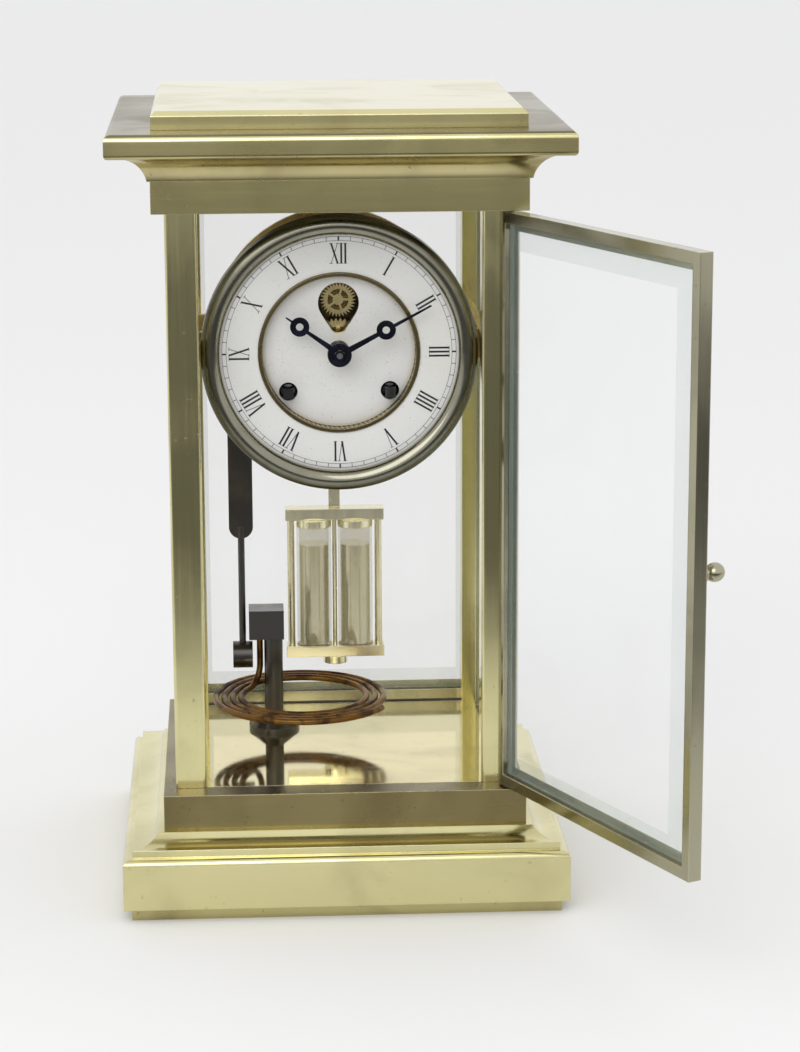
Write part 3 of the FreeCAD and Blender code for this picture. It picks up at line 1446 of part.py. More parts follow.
def make_strike_train():
    phase = meshed("great_teeth", 0.0, STRIKE_BARREL, "pin_leaves", PIN)
    shaft = train_arbor(
        "pin", PIN, "arbor_radius", "pin_leaves", "great_module",
        *over("drum_back", "great_thickness"), phase, *between_plates("arbor_radius"))
    rim = wheel(
        "pin_rim", "pin_teeth", "pin_module", "arbor_radius",
        "second_front", "second_front + wheel_thickness", PIN[0], up(PIN[1]), 0.0, 4)
    pins = []
    for index in range(int(value("pin_count"))):
        angle = f"(360 * {index} / pin_count)"
        pins.append(rod(
            f"lifting_pin_{index}", "pin_radius", f"pin_x + pin_reach * cos({angle})",
            ("second_front - pin_length", "second_front + wheel_thickness"),
            up(f"pin_rise + pin_reach * sin({angle})")))
    keep("pin_wheel", group("pin_wheel", fuse("pin_rim_pinned", rim, *pins), shaft))
    phase = meshed("pin_teeth", 0.0, PIN, "fly_leaves", FLY)
    shaft = train_arbor(
        "fly", FLY, "arbor_radius", "fly_leaves", "pin_module",
        *over("second_front", "wheel_thickness"), phase, *between_plates("arbor_radius"))
    bounds = ("plate_back + fly_setback", "plate_back + fly_setback + fly_length")
    vane = block(
        "fly_vanes", ("fly_x - fly_radius", "fly_x + fly_radius"), bounds,
        (up("fly_rise - fly_vane / 2"), up("fly_rise + fly_vane / 2")))
    hub = rod("fly_hub", "fly_hub_radius", "fly_x", bounds, up("fly_rise"))
    bore = rod("fly_bore", "arbor_radius", "fly_x", bounds, up("fly_rise"))
    keep("fly", group("fly", cut("fly_fan", fuse("fly_blank", vane, hub), bore), shaft))


def make_hammer():
    x, z = "hammer_x", "hammer_z"
    staff = arbor(
        "hammer_staff", x, z, ("pivot_radius", "plate_front", "plate_back + pinion_overhang"),
        ("hammer_arbor", "plate_back + running_play", "hammer_back"))
    half = "hammer_width / 2"
    bar = plate("hammer_bar", "hammer_front", "hammer_back", [
        (half, "0"),
        ("0", half, half, 1),
        (f"-{half}", "0", half, 1),
        (f"-{half}", "-hammer_bar_length"),
        ("0", f"-hammer_bar_length - {half}", half, 1),
        (half, "-hammer_bar_length", half, 1),
    ], x=x, z=z)
    shank = rod("hammer_rod", "hammer_rod_radius", x, "hammer_y", ("head_z", f"{z} - hammer_bar_length"))
    tail_top = "dial_height + pin_rise - pin_reach - pin_radius - hammer_tail_gap"
    tail = block(
        "hammer_tail", (f"{x} - hammer_tail_width / 2", f"{x} + hammer_tail_width / 2"),
        ("second_front - pin_length", "second_front - pin_length + hammer_tail_thickness"), (z, tail_top))
    keep("hammer", fuse("hammer", staff, bar, shank, tail))
    length = ("head_right - hammer_head_length", "head_right")
    ball = rod("hammer_barrel", "hammer_head_radius", length, "hammer_y", "head_z")
    depth = ("head_z", "head_z + 2 * hammer_head_radius")
    hole = rod("hammer_socket", "hammer_rod_radius", x, "hammer_y", depth)
    keep("hammer_head", cut("hammer_head", ball, hole))


def gong_path():
    """Centre line of the gong wire: down from its clamp, round a bend, then outward in half turns."""
    heading = math.radians(value("gong_heading_angle"))
    ahead = Vector(math.cos(heading), math.sin(heading), 0)
    inward = Vector(-ahead.y, ahead.x, 0)
    bend = value("gong_bend")
    level = value("gong_z")
    root = Vector(value("gong_root_x"), value("hammer_y"), 0)
    top = root + Vector(0, 0, value("stand_head_low + stand_head_height"))
    knee = root + Vector(0, 0, level + bend)
    spot = root + ahead * bend + Vector(0, 0, level)
    slope = knee + ahead * bend * (1 - math.sqrt(0.5)) - Vector(0, 0, bend * math.sqrt(0.5))
    curves = [Part.LineSegment(top, knee), Part.Arc(knee, slope, spot)]
    for turn in range(int(value("gong_half_turns"))):
        radius = value("gong_radius") + turn * value("gong_pitch") / 2
        crest = spot + (inward + ahead) * radius
        end = spot + inward * 2 * radius
        curves.append(Part.Arc(spot, crest, end))
        spot = end
        ahead = ahead * -1
        inward = inward * -1
    return Part.Wire([curve.toShape() for curve in curves])


def print_gong_gap(path):
    """Least gap of the gong wire to itself, from points along its centre line."""
    step = value("gong_wire_radius")
    spots = path.discretize(Distance=step)
    apart = int(4 * value("gong_pitch") / step)
    least = min(
        spots[first].distanceToPoint(spots[second])
        for first in range(len(spots)) for second in range(first + apart, len(spots)))
    print(f"gong wire: least gap to itself {least - 2 * step:.2f} mm")


def make_gong():
    path = gong_path()
    radius = value("gong_wire_radius")
    start = path.Vertexes[0].Point
    section = Part.Wire(Part.Circle(start, Vector(0, 0, 1), radius).toShape())
    coil = doc.addObject("Part::Feature", "gong_coil")
    coil.Shape = path.makePipeShell([section], True, False)
    keep("gong_coil", coil)
    share = coil.Shape.Volume / (math.pi * radius ** 2 * path.Length)
    print(f"gong wire: volume over section times length {share:.4f}")
    print_gong_gap(path)
    column_x = "gong_root_x + stand_column_offset"
    column_y = "hammer_y - stand_column_front"
    column = turned("stand_column", "z", [
        ("0", "rail_top"),
        ("stand_foot_radius", "rail_top"),
        ("stand_foot_radius", "rail_top + stand_foot_height / 2"),
        ("stand_column_radius", "rail_top + 2 * stand_foot_height"),
        ("stand_column_radius", "stand_head_low"),
        ("0", "stand_head_low"),
    ], x=column_x, y=column_y)
    head = block(
        "stand_head", ("gong_root_x - stand_head_margin", f"{column_x} + stand_head_margin"),
        (f"{column_y} - stand_head_depth / 2", "hammer_y + stand_head_depth / 2"),
        ("stand_head_low", "stand_head_low + stand_head_height"))
    socket = rod(
        "gong_socket", "gong_wire_radius + pin_press", "gong_root_x", "hammer_y",
        ("stand_head_low", "stand_head_low + stand_head_height"))
    keep("gong_stand", cut("gong_stand", fuse("stand_blank", column, head), socket))


def make_suspension():
    """Cock on the rear plate, whose ears hold the suspension's cross pin."""
    legs = []
    for index, side in enumerate((1, -1)):
        legs.append(rod(
            f"cock_spacer_{index}", "cock_spacer_radius", f"{side} * cock_spacer_reach",
            ("rear_back", "cock_front"), "swing_z"))
    sheet = block(
        "cock_sheet", span_both("cock_width / 2"), ("cock_front", "cock_back"),
        ("swing_z - cock_drop", "swing_z + cock_arm_low + cock_arm_height"))
    arm = block(
        "cock_arm", span_both("ear_width / 2"), ("cock_front", "pendulum_y + ear_outer"),
        ("swing_z + cock_arm_low", "swing_z + cock_arm_low + cock_arm_height"))
    ears = []
    for index, side in enumerate((-1, 1)):
        low, high = span(side, "ear_inner", "ear_outer")
        ears.append(block(
            f"cock_ear_{index}", span_both("ear_width / 2"), (f"pendulum_y + {low}", f"pendulum_y + {high}"),
            ("swing_z - cock_drop / 2", "swing_z + cock_arm_low")))
    pin_bore = rod(
        "cock_pin_bore", "suspension_pin_radius + running_play", "0",
        ("pendulum_y - ear_outer", "pendulum_y + ear_outer"), "swing_z")
    pivot_bore = rod(
        "cock_pivot_bore", "pivot_radius + running_play", "0", ("cock_front", "cock_back"), "swing_z")
    blank = fuse("cock_blank", *legs, sheet, arm, *ears)
    keep("suspension_cock", cut("suspension_cock", blank, pin_bore, pivot_bore))
    y = ("pendulum_y - suspension_block / 2", "pendulum_y + suspension_block / 2")
    x = span_both("suspension_block_width / 2")
    top = block("suspension_top", x, y, ("block_low", "block_high"))
    pin = rod(
        "suspension_pin", "suspension_pin_radius", "0", ("pendulum_y - ear_outer", "pendulum_y + ear_outer"),
        "swing_z")
    strip = block("suspension_leaf", span_both("suspension_strip / 2"), y, ("strip_low", "block_low"))
    hook = block("suspension_hook", x, y, ("hook_low", "strip_low"))
    keep("suspension_spring", fuse("suspension_spring", top, pin, strip, hook))


def make_pendulum():
    y = ("pendulum_y - rod_thickness / 2", "pendulum_y + rod_thickness / 2")
    flat = block("rod_flat", span_both("rod_width / 2"), y, ("top_bar_high", "hook_low"))
    slot_low = "swing_z - crutch_length + crutch_width - rod_width"
    slot = block(
        "rod_slot", span_both("crutch_pin_radius + ring_play"), y, (slot_low, f"{slot_low} + 2 * rod_width"))
    thread = rod("rod_thread", "rod_thread_radius", "0", "pendulum_y", ("rod_low", "top_bar_high"))
    keep("pendulum_rod", fuse("pendulum_rod", cut("rod_slotted", flat, slot), thread))
    depth = ("pendulum_y - bar_depth / 2", "pendulum_y + bar_depth / 2")
    bars = [
        block("top_bar", span_both("bar_half"), depth, ("top_bar_low", "top_bar_high")),
        block("low_bar", span_both("bar_half"), depth, ("low_bar_low", "jar_low")),
    ]
    y = "pendulum_y"
    for index, side in enumerate((1, -1)):
        bars.append(rod(
            f"frame_rod_{index}", "frame_rod_radius", f"{side} * frame_rod_x", y, ("jar_low", "top_bar_low")))
        bars.append(rod(f"jar_cap_{index}", "jar_radius", f"{side} * jar_x", y, ("jar_top", "top_bar_low")))
    hole = rod("frame_bore", "rod_thread_radius + pin_press", "0", y, ("low_bar_low", "top_bar_high"))
    keep("jar_frame", cut("jar_frame", fuse("jar_frame_blank", *bars), hole))
    jars = []
    fills = []
    for index, side in enumerate((1, -1)):
        x = f"{side} * jar_x"
        outer = rod(f"jar_wall_{index}", "jar_radius", x, y, ("jar_low", "jar_top"))
        inner = rod(f"jar_hollow_{index}", "jar_radius - jar_wall", x, y, ("jar_low + jar_wall", "jar_top"))
        jars.append(cut(f"jar_{index}", outer, inner))
        fills.append(rod(
            f"fill_{index}", "jar_radius - jar_wall - mercury_play", x, y,
            ("jar_low + jar_wall", "mercury_level")))
    keep("jars", group("jars", *jars))
    keep("mercury", group("mercury", *fills))
    disc = rod("rating_disc", "rating_nut_radius", "0", y, ("nut_low", "low_bar_low"))
    bore = rod("rating_bore", "rod_thread_radius + pin_press", "0", y, ("nut_low", "low_bar_low"))
    keep("rating_nut", cut("rating_nut", disc, bore))


def build():
    fill_sheets()
    make_base()
    make_rails()
    make_cornice()
    make_posts()
    make_side_glass()
    make_door("front")
    make_door("back")
    make_hinge_pins()
    make_dial()
    make_plates()
    make_pillars()
    make_carriers()
    make_barrels()
    make_going_train()
    make_motion_work()
    make_hands()
    make_escapement()
    make_strike_train()
    make_hammer()
    make_gong()
    make_suspension()
    make_pendulum()
    doc.recompute()


def export():
    """Check every object and write each node's solids to its own file."""
    faults = [item.Name for item in doc.Objects if {"Invalid", "Error"} & set(item.State)]
    for node, item in nodes.items():
        if item.Shape.isNull() or not item.Shape.isValid() or not item.Shape.Solids:
            faults.append(node)
    if faults:
        raise RuntimeError("failed objects: " + ", ".join(faults))
    os.makedirs("parts", exist_ok=True)
    for node, item in nodes.items():
        item.Shape.exportStep(f"parts/{node}.step")
    print(f"{len(nodes)} nodes written")


build()
export()
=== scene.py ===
"""Looks of a brass and crystal mantel clock: finishes, the printed dial, studio light and the camera."""
import json
import math

import bmesh
import bpy
from mathutils import Matrix, Vector


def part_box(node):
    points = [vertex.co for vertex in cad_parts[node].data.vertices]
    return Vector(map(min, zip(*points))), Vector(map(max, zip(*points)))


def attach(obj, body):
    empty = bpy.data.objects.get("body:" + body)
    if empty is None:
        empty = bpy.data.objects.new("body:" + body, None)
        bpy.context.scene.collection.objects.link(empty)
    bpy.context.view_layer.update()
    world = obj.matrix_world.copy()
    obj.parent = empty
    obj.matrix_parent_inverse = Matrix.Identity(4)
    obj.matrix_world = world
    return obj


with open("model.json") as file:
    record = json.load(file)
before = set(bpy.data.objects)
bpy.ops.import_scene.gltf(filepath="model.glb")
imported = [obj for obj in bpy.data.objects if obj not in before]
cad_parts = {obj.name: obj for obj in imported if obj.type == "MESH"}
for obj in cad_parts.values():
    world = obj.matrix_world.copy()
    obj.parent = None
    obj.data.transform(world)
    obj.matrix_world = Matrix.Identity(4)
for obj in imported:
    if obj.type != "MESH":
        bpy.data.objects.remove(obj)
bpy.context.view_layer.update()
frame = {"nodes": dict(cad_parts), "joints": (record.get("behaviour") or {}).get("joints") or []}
nodes = frame["nodes"]

MM = 0.001

# Colours of the finishes, in linear light
CASE_BRASS = (0.70, 0.65, 0.35, 1)
CASE_TARNISH = (0.34, 0.29, 0.13, 1)
CASE_RUBBED = (0.92, 0.86, 0.60, 1)
# Darker copies of the case brass for the cornice, the cap's sides, the rails and the plinth's lip: painted
# shade in place of the dark reflections of polished brass. Their tarnish colours carry both tarnish and
# painted shade.
SHADED_BRASS = (0.50, 0.45, 0.22, 1)
SHADED_TARNISH = (0.24, 0.20, 0.09, 1)
SHADED_COVE_BRASS = (0.56, 0.49, 0.26, 1)
SHADED_LEDGE_BRASS = (0.22, 0.185, 0.09, 1)
SHADED_SILL_BRASS = (0.24, 0.20, 0.092, 1)
SHADED_SILL_TARNISH = (0.14, 0.11, 0.05, 1)
DOOR_BRASS = (0.40, 0.38, 0.27, 1)
DOOR_TARNISH = (0.18, 0.165, 0.11, 1)
# The bezel's colours are darkened copies of brass: painted shade. The darker one also takes clouds of
# tarnish.
SHADED_BEZEL_BRASS = (0.28, 0.27, 0.21, 1)
BEZEL_SHADE_AND_TARNISH = (0.11, 0.105, 0.075, 1)
# A dark brass for the dial plate's ring at the edge of the recessed centre: painted shadow.
SHADOW_RING_BRASS = (0.22, 0.17, 0.08, 1)
SHADOW_RING_TARNISH = (0.09, 0.07, 0.03, 1)
# The escape bridge's brass darkened nearly to black: painted shade in the dial's aperture.
SHADED_BRIDGE_BRONZE = (0.14, 0.10, 0.045, 1)
# Near black, for painted shade in the holes behind the dial.
HOLE_SHADE = (0.030, 0.024, 0.014, 1)
FLOOR_BRASS = (0.86, 0.77, 0.44, 1)
MOVEMENT_BRASS = (0.78, 0.64, 0.31, 1)
MOVEMENT_TARNISH = (0.36, 0.26, 0.10, 1)
PENDULUM_BRASS = (0.82, 0.77, 0.54, 1)
PENDULUM_TARNISH = (0.48, 0.42, 0.24, 1)
BRIGHT_STEEL = (0.58, 0.58, 0.59, 1)
SQUARE_STEEL = (0.12, 0.12, 0.125, 1)
SQUARE_WORN = (0.30, 0.30, 0.31, 1)
DULL_STEEL = (0.27, 0.26, 0.25, 1)
BLUED_STEEL = (0.009, 0.010, 0.018, 1)
BLUED_EDGE = (0.028, 0.034, 0.072, 1)
BLACK_LACQUER = (0.014, 0.010, 0.005, 1)
WORN_LACQUER = (0.080, 0.050, 0.020, 1)
GONG_BROWN = (0.165, 0.076, 0.010, 1)
GONG_SCALE = (0.050, 0.022, 0.005, 1)
ENAMEL_WHITE = (0.80, 0.80, 0.78, 1)
ENAMEL_AGED = (0.70, 0.69, 0.65, 1)
# Dark for specks of grime and for the darkening towards the dial's edges, which at the centre is painted
# shade.
ENAMEL_GRIME_AND_SHADE = (0.40, 0.38, 0.32, 1)
DIAL_INK = (0.016, 0.015, 0.014, 1)
DIAL_INK_FADED = (0.060, 0.055, 0.048, 1)
PALLET_RED = (0.28, 0.018, 0.012, 1)
PALLET_PALE = (0.52, 0.10, 0.05, 1)
GLASS_CLEAR = (0.86, 0.90, 0.89, 1)
GLASS_DUST = (0.80, 0.81, 0.78, 1)
# The bevel strips are denser and greener than the flat glass: painted reflection along the bevels.
GLASS_EDGE = (0.42, 0.52, 0.46, 1)
JAR_AMBER = (0.72, 0.67, 0.44, 1)
MERCURY_BRIGHT = (0.70, 0.67, 0.53, 1)
MERCURY_SKIN = (0.50, 0.47, 0.35, 1)
SHEET_PALE = (0.86, 0.86, 0.85, 1)
ROOM_BRIGHT = (1.0, 1.0, 1.02, 1)
ROOM_DIM = (0.14, 0.14, 0.138, 1)
CARD_GREY = (0.045, 0.045, 0.043, 1)
CARD_NAP = (0.065, 0.065, 0.062, 1)

# Where one finish of a piece gives way to the next, in millimetres
# Below this height the plinth takes the darker copy of brass: a painted shadow line under the plinth.
PLINTH_LIP = 4.3
# Across these radii the bezel darkens towards its rim: painted shade.
BEZEL_SHADE_START = 42.6
BEZEL_SHADE_FULL = 45.4
# Radii of the painted shadow ring at the edge of the dial's recessed centre.
SHADOW_RING_INNER = 24.0
SHADOW_RING_OUTER = 28.0
# Radii of the painted shade round the escape wheel and the barrels, seen through the dial.
SHADE_ROUND_ESCAPE = 11.0
SHADE_ROUND_BARREL = 6.0
PALLET_REACH = 6.0
PALLET_BACK = 12.0
PALLET_ALONG = 1.9
PALLET_ACROSS = 1.2
RIM_EDGE = 0.05
# The ring darkens towards its outer edge, and the centre towards its edge, where it is painted shade at the
# recess.
RING_DARKENING = (38.2, 41.0)
CENTRE_EDGE_SHADE = (23.5, 26.0)

# Slopes that count as upright, as level and as the flat of a pane, and how far out a wheel's rim starts
UPRIGHT = 0.15
LEVEL = 0.7
FLAT_PANE = 0.995
RIM_FROM = 0.8

# The floor and the dark card before the clock, in metres
FLOOR_RADIUS = 9.0
CARD_HALF = 1.2
CARD_NEAR = 0.19
CARD_FULL = 0.50
CARD_FAR = 2.4
CARD_LIFT = 0.002

# Where the room's soft light goes from dim to bright: ahead and upward, on a sphere of radius 1
DIM_AHEAD = (-0.75, -0.05)
DIM_UPWARD = (0.15, 0.70)

# The soft panel, in metres and watts
PANEL_SPOT = (-0.5, -1.3, 1.0)
PANEL_AIM = (0, 0, 0.1)
PANEL_WIDTH = 1.4
PANEL_DEPTH = 1.0
PANEL_WATTS = 9.0


class Reading:
    """A value in a node tree. Arithmetic with it adds Math nodes to that tree."""

    def __init__(self, owner, socket):
        self.owner = owner
        self.socket = socket

    def math(self, operation, first, second):
        return self.owner.add("ShaderNodeMath", {"operation": operation}, {0: first, 1: second})

    def __add__(self, other):
        return self.math("ADD", self, other)

    def __radd__(self, other):
        return self.math("ADD", other, self)

    def __sub__(self, other):
        return self.math("SUBTRACT", self, other)

    def __rsub__(self, other):
        return self.math("SUBTRACT", other, self)

    def __mul__(self, other):
        return self.math("MULTIPLY", self, other)

    def __rmul__(self, other):
        return self.math("MULTIPLY", other, self)

    def __pow__(self, other):
        return self.math("POWER", self, other)


class Shading:
    """The nodes of a finish or of the room."""

    def __init__(self, tree):
        self.tree = tree

    def add(self, kind, settings=None, inputs=None, output=0):
        """Add a node: its settings first, then the values or links of its sockets."""
        node = self.tree.nodes.new(kind)
        for name, setting in (settings or {}).items():
            setattr(node, name, setting)
        for name, value in (inputs or {}).items():
            self.feed(node.inputs[name], value)
        return Reading(self, node.outputs[output])

    def feed(self, socket, value):
        if isinstance(value, Reading):
            self.tree.links.new(value.socket, socket)
        else:
            socket.default_value = value

    def blend(self, share, first, second):
        """Colour between two colours."""
        settings = {"data_type": "RGBA", "clamp_factor": True}
        return self.add("ShaderNodeMix", settings, {0: share, 6: first, 7: second}, output=2)

    def rise(self, value, low, high):
        """Smooth step from 0 at low to 1 at high."""
        inputs = {"Value": value, "From Min": low, "From Max": high}
        return self.add("ShaderNodeMapRange", {"interpolation_type": "SMOOTHSTEP"}, inputs)


class Finish(Shading):
    """The nodes of one finish, with its Principled shader."""

    def __init__(self, name):
        self.material = bpy.data.materials.new(name)
        self.material.use_nodes = True
        super().__init__(self.material.node_tree)
        self.shader = self.tree.nodes["Principled BSDF"]
        self.place = self.add("ShaderNodeTexCoord", output="Object")

    def set(self, **sockets):
        for name, value in sockets.items():
            self.feed(self.shader.inputs[name.replace("_", " ")], value)

    def stretched(self, scale):
        return self.add("ShaderNodeVectorMath", {"operation": "MULTIPLY"}, {0: self.place, 1: scale})

    def noise(self, scale, detail=3.0, distortion=0.0):
        """Cloudy noise: one scale for even spots, three for lines along the axis with the least."""
        if isinstance(scale, tuple):
            inputs = {"Vector": self.stretched(scale), "Scale": 1.0}
        else:
            inputs = {"Vector": self.place, "Scale": scale}
        inputs.update({"Detail": detail, "Distortion": distortion})
        return self.add("ShaderNodeTexNoise", None, inputs)

    def rounded(self, radius):
        """Normal with the sharp edges eased, and a mask that is 1 along those edges."""
        eased = self.add("ShaderNodeBevel", {"samples": 4}, {"Radius": radius})
        flat = self.add("ShaderNodeNewGeometry", output="Normal")
        along = self.add(
            "ShaderNodeVectorMath", {"operation": "DOT_PRODUCT"}, {0: eased, 1: flat}, output="Value")
        return eased, self.rise(1 - along, 0.004, 0.14)

    def bump(self, height, strength, distance, normal=None):
        inputs = {"Height": height, "Strength": strength, "Distance": distance}
        if normal is not None:
            inputs["Normal"] = normal
        return self.add("ShaderNodeBump", None, inputs)

    def radius_from(self, spot):
        """Distance from an axis through a spot, along y."""
        axis = (spot[0], 0, spot[1])
        level = self.add("ShaderNodeVectorMath", {"operation": "SUBTRACT"}, {0: self.place, 1: axis})
        flat = self.add("ShaderNodeVectorMath", {"operation": "MULTIPLY"}, {0: level, 1: (1, 0, 1)})
        return self.add("ShaderNodeVectorMath", {"operation": "LENGTH"}, {0: flat}, output="Value")


def polished_brass(name, colour, tarnish, lines, rough=0.13, patina=0.5):
    """Buffed and lacquered brass: soft clouds of patina, buffing lines, pinprick spots and rubbed edges."""
    finish = Finish(name)
    cloud = finish.rise(finish.noise(24, detail=4, distortion=0.6), 0.42, 0.72)
    buffing = finish.noise(lines, detail=2)
    spots = finish.rise(finish.noise(520, detail=1), 0.70, 0.80)
    eased, edge = finish.rounded(0.45 * MM)
    base = finish.blend(cloud * patina, colour, tarnish)
    base = finish.blend(spots * 0.35, base, tarnish)
    base = finish.blend(edge * 0.45, base, CASE_RUBBED)
    finish.set(Base_Color=base, Metallic=1.0)
    finish.set(Roughness=rough + cloud * 0.10 + spots * 0.10 + (buffing - 0.5) * 0.10)
    finish.set(Normal=finish.bump(buffing, 0.05, 0.05 * MM, eased))
    return finish.material


def shaded_bezel_brass(spot):
    """Turned bezel: brass darkened all over and darker still towards its rim, painted shade in place of dark
    reflections. The inner slope keeps the lighter brass, and clouds of tarnish lie over it.
    """
    finish = Finish("shaded_bezel_brass")
    painted_rim_shade = finish.rise(finish.radius_from(spot), BEZEL_SHADE_START * MM, BEZEL_SHADE_FULL * MM)
    cloud = finish.rise(finish.noise(60, detail=4, distortion=0.5), 0.42, 0.75)
    turning = finish.noise((900, 60, 900), detail=2)
    eased, edge = finish.rounded(0.3 * MM)
    base = finish.blend(painted_rim_shade * 0.85 + cloud * 0.25, SHADED_BEZEL_BRASS, BEZEL_SHADE_AND_TARNISH)
    base = finish.blend(edge * 0.3, base, CASE_RUBBED)
    finish.set(Base_Color=base, Metallic=1.0)
    finish.set(Roughness=0.14 + painted_rim_shade * 0.16 + cloud * 0.08 + (turning - 0.5) * 0.08)
    finish.set(Normal=finish.bump(turning, 0.05, 0.05 * MM, eased))
    return finish.material


def satin_brass(name, colour, tarnish, lines, rough=0.27, shade_spots=()):
    """Grained brass of the movement: a little tarnish, and painted shade that darkens it round some pivots,
    behind the holes in the dial.
    """
    finish = Finish(name)
    cloud = finish.rise(finish.noise(60, detail=4, distortion=0.4), 0.40, 0.75)
    grain = finish.noise(lines, detail=3)
    base = finish.blend(cloud * 0.30, colour, tarnish)
    base = finish.blend(finish.rise(grain, 0.50, 0.85) * 0.12, base, tarnish)
    # Each spot darkens the brass within its radius: painted shade.
    for spot, radius in shade_spots:
        unshaded = finish.rise(finish.radius_from(spot), 0.75 * radius, 1.25 * radius)
        base = finish.blend((1 - unshaded) * 0.92, base, HOLE_SHADE)
    finish.set(Base_Color=base, Metallic=1.0)
    finish.set(Roughness=rough + cloud * 0.12 + (grain - 0.5) * 0.16)
    finish.set(Normal=finish.bump(grain, 0.10, 0.05 * MM))
    return finish.material


def turned_steel(name, bright, dull, rough=0.16):
    """Polished steel with fine turning marks across the arbor."""
    finish = Finish(name)
    marks = finish.noise((300, 5200, 300), detail=2)
    haze = finish.rise(finish.noise(140, detail=3), 0.45, 0.8)
    finish.set(Base_Color=finish.blend(haze * 0.6, bright, dull), Metallic=1.0)
    finish.set(Roughness=rough + haze * 0.16 + (marks - 0.5) * 0.12)
    finish.set(Normal=finish.bump(marks, 0.08, 0.03 * MM))
    return finish.material


def blued_steel():
    finish = Finish("blued_steel")
    bloom = finish.noise(260, detail=3)
    eased, edge = finish.rounded(0.18 * MM)
    base = finish.blend(finish.rise(bloom, 0.4, 0.75) * 0.5 + edge * 0.4, BLUED_STEEL, BLUED_EDGE)
    finish.set(Base_Color=base, Metallic=0.75, Roughness=0.20 + bloom * 0.14)
    finish.set(Normal=finish.bump(bloom, 0.05, 0.05 * MM, eased))
    return finish.material


def black_lacquer():
    """Stove lacquer over steel, worn thin along the edges, with a faint orange peel."""
    finish = Finish("black_lacquer")
    peel = finish.noise(900, detail=1)
    haze = finish.rise(finish.noise(90, detail=4), 0.45, 0.8)
    eased, edge = finish.rounded(0.5 * MM)
    base = finish.blend(haze * 0.35 + edge * 0.55, BLACK_LACQUER, WORN_LACQUER)
    finish.set(Base_Color=base, Metallic=0.0, Coat_Weight=0.45 - haze * 0.25, Coat_Roughness=0.12)
    finish.set(Roughness=0.30 + haze * 0.20)
    finish.set(Normal=finish.bump(peel, 0.06, 0.06 * MM, eased))
    return finish.material


def browned_gong():
    """Hardened wire in its brown oil finish, scaly in patches."""
    finish = Finish("browned_gong")
    scale = finish.rise(finish.noise(170, detail=5, distortion=0.8), 0.42, 0.66)
    pits = finish.noise(1500, detail=2)
    finish.set(Base_Color=finish.blend(scale, GONG_BROWN, GONG_SCALE), Metallic=0.72)
    finish.set(Roughness=0.28 + scale * 0.20 + (pits - 0.5) * 0.10)
    finish.set(Normal=finish.bump(pits, 0.12, 0.06 * MM))
    return finish.material


def enamel(name, spot, darken_from, darken_to):
    """White vitreous enamel: faint waves, age clouds, specks of grime, and darkening towards one radius,
    which on the dial centre is painted shade at the edge of its recess.
    """
    finish = Finish(name)
    waves = finish.noise(110, detail=2)
    age = finish.rise(finish.noise(38, detail=4), 0.45, 0.85)
    specks = finish.rise(finish.noise(1300, detail=0), 0.74, 0.80)
    # Darker towards one radius: on the dial centre this is painted shade at the edge of its recess.
    edge_darkening = finish.rise(finish.radius_from(spot), darken_from, darken_to)
    base = finish.blend(age * 0.55, ENAMEL_WHITE, ENAMEL_AGED)
    base = finish.blend(specks * 0.35 + edge_darkening * 0.75, base, ENAMEL_GRIME_AND_SHADE)
    finish.set(Base_Color=base, Coat_Weight=0.5 - edge_darkening * 0.3, Coat_Roughness=0.05)
    finish.set(Roughness=0.24 + age * 0.10 + edge_darkening * 0.25)
    finish.set(Normal=finish.bump(waves, 0.05, 0.10 * MM))
    return finish.material


def dial_ink():
    """Fired black print, slightly broken where it has worn."""
    finish = Finish("dial_ink")
    worn = finish.rise(finish.noise(700, detail=3), 0.52, 0.78)
    finish.set(Base_Color=finish.blend(worn * 0.6, DIAL_INK, DIAL_INK_FADED), Roughness=0.32 + worn * 0.2)
    return finish.material


def pallet_stone():
    finish = Finish("pallet_stone")
    veins = finish.rise(finish.noise(900, detail=3, distortion=1.2), 0.45, 0.7)
    finish.set(Base_Color=finish.blend(veins * 0.5, PALLET_RED, PALLET_PALE), Roughness=0.10 + veins * 0.08)
    finish.set(Coat_Weight=0.4)
    return finish.material


def clear_glass(name, colour, veil):
    """Thin plate glass: a faint tint, and a veil of dust with wiping marks."""
    finish = Finish(name)
    dust = finish.rise(finish.noise(26, detail=5, distortion=0.5), 0.45, 0.8)
    wiped = finish.noise((260, 260, 40), detail=2)
    finish.set(Base_Color=finish.blend(dust * 0.5, colour, GLASS_DUST), IOR=1.52)
    finish.set(Roughness=0.02 + dust * 0.05)
    finish.set(Alpha=veil + dust * 0.02 + (wiped - 0.5) * 0.015)
    return finish.material


def mercury_metal():
    finish = Finish("mercury_metal")
    skin = finish.rise(finish.noise(120, detail=4), 0.5, 0.8)
    finish.set(Base_Color=finish.blend(skin * 0.6, MERCURY_BRIGHT, MERCURY_SKIN), Metallic=1.0)
    finish.set(Roughness=0.03 + skin * 0.12)
    return finish.material


def dress(names, *materials):
    """Give nodes their finishes: the first is all over until facets() shares out the others."""
    for name in names:
        slots = nodes[name].data.materials
        slots.clear()
        for material in materials:
            slots.append(material)
        nodes[name].data.polygons.foreach_set("material_index", [0] * len(nodes[name].data.polygons))


def facets(name, index, wanted):
    """Give the second or a later finish of a node to the facets whose centre and normal are wanted."""
    for polygon in nodes[name].data.polygons:
        if wanted(polygon.center, polygon.normal):
            polygon.material_index = index


def joint_spot(body):
    return [Vector(joint["pos_m"]) for joint in frame["joints"] if joint["child"] == body][0]


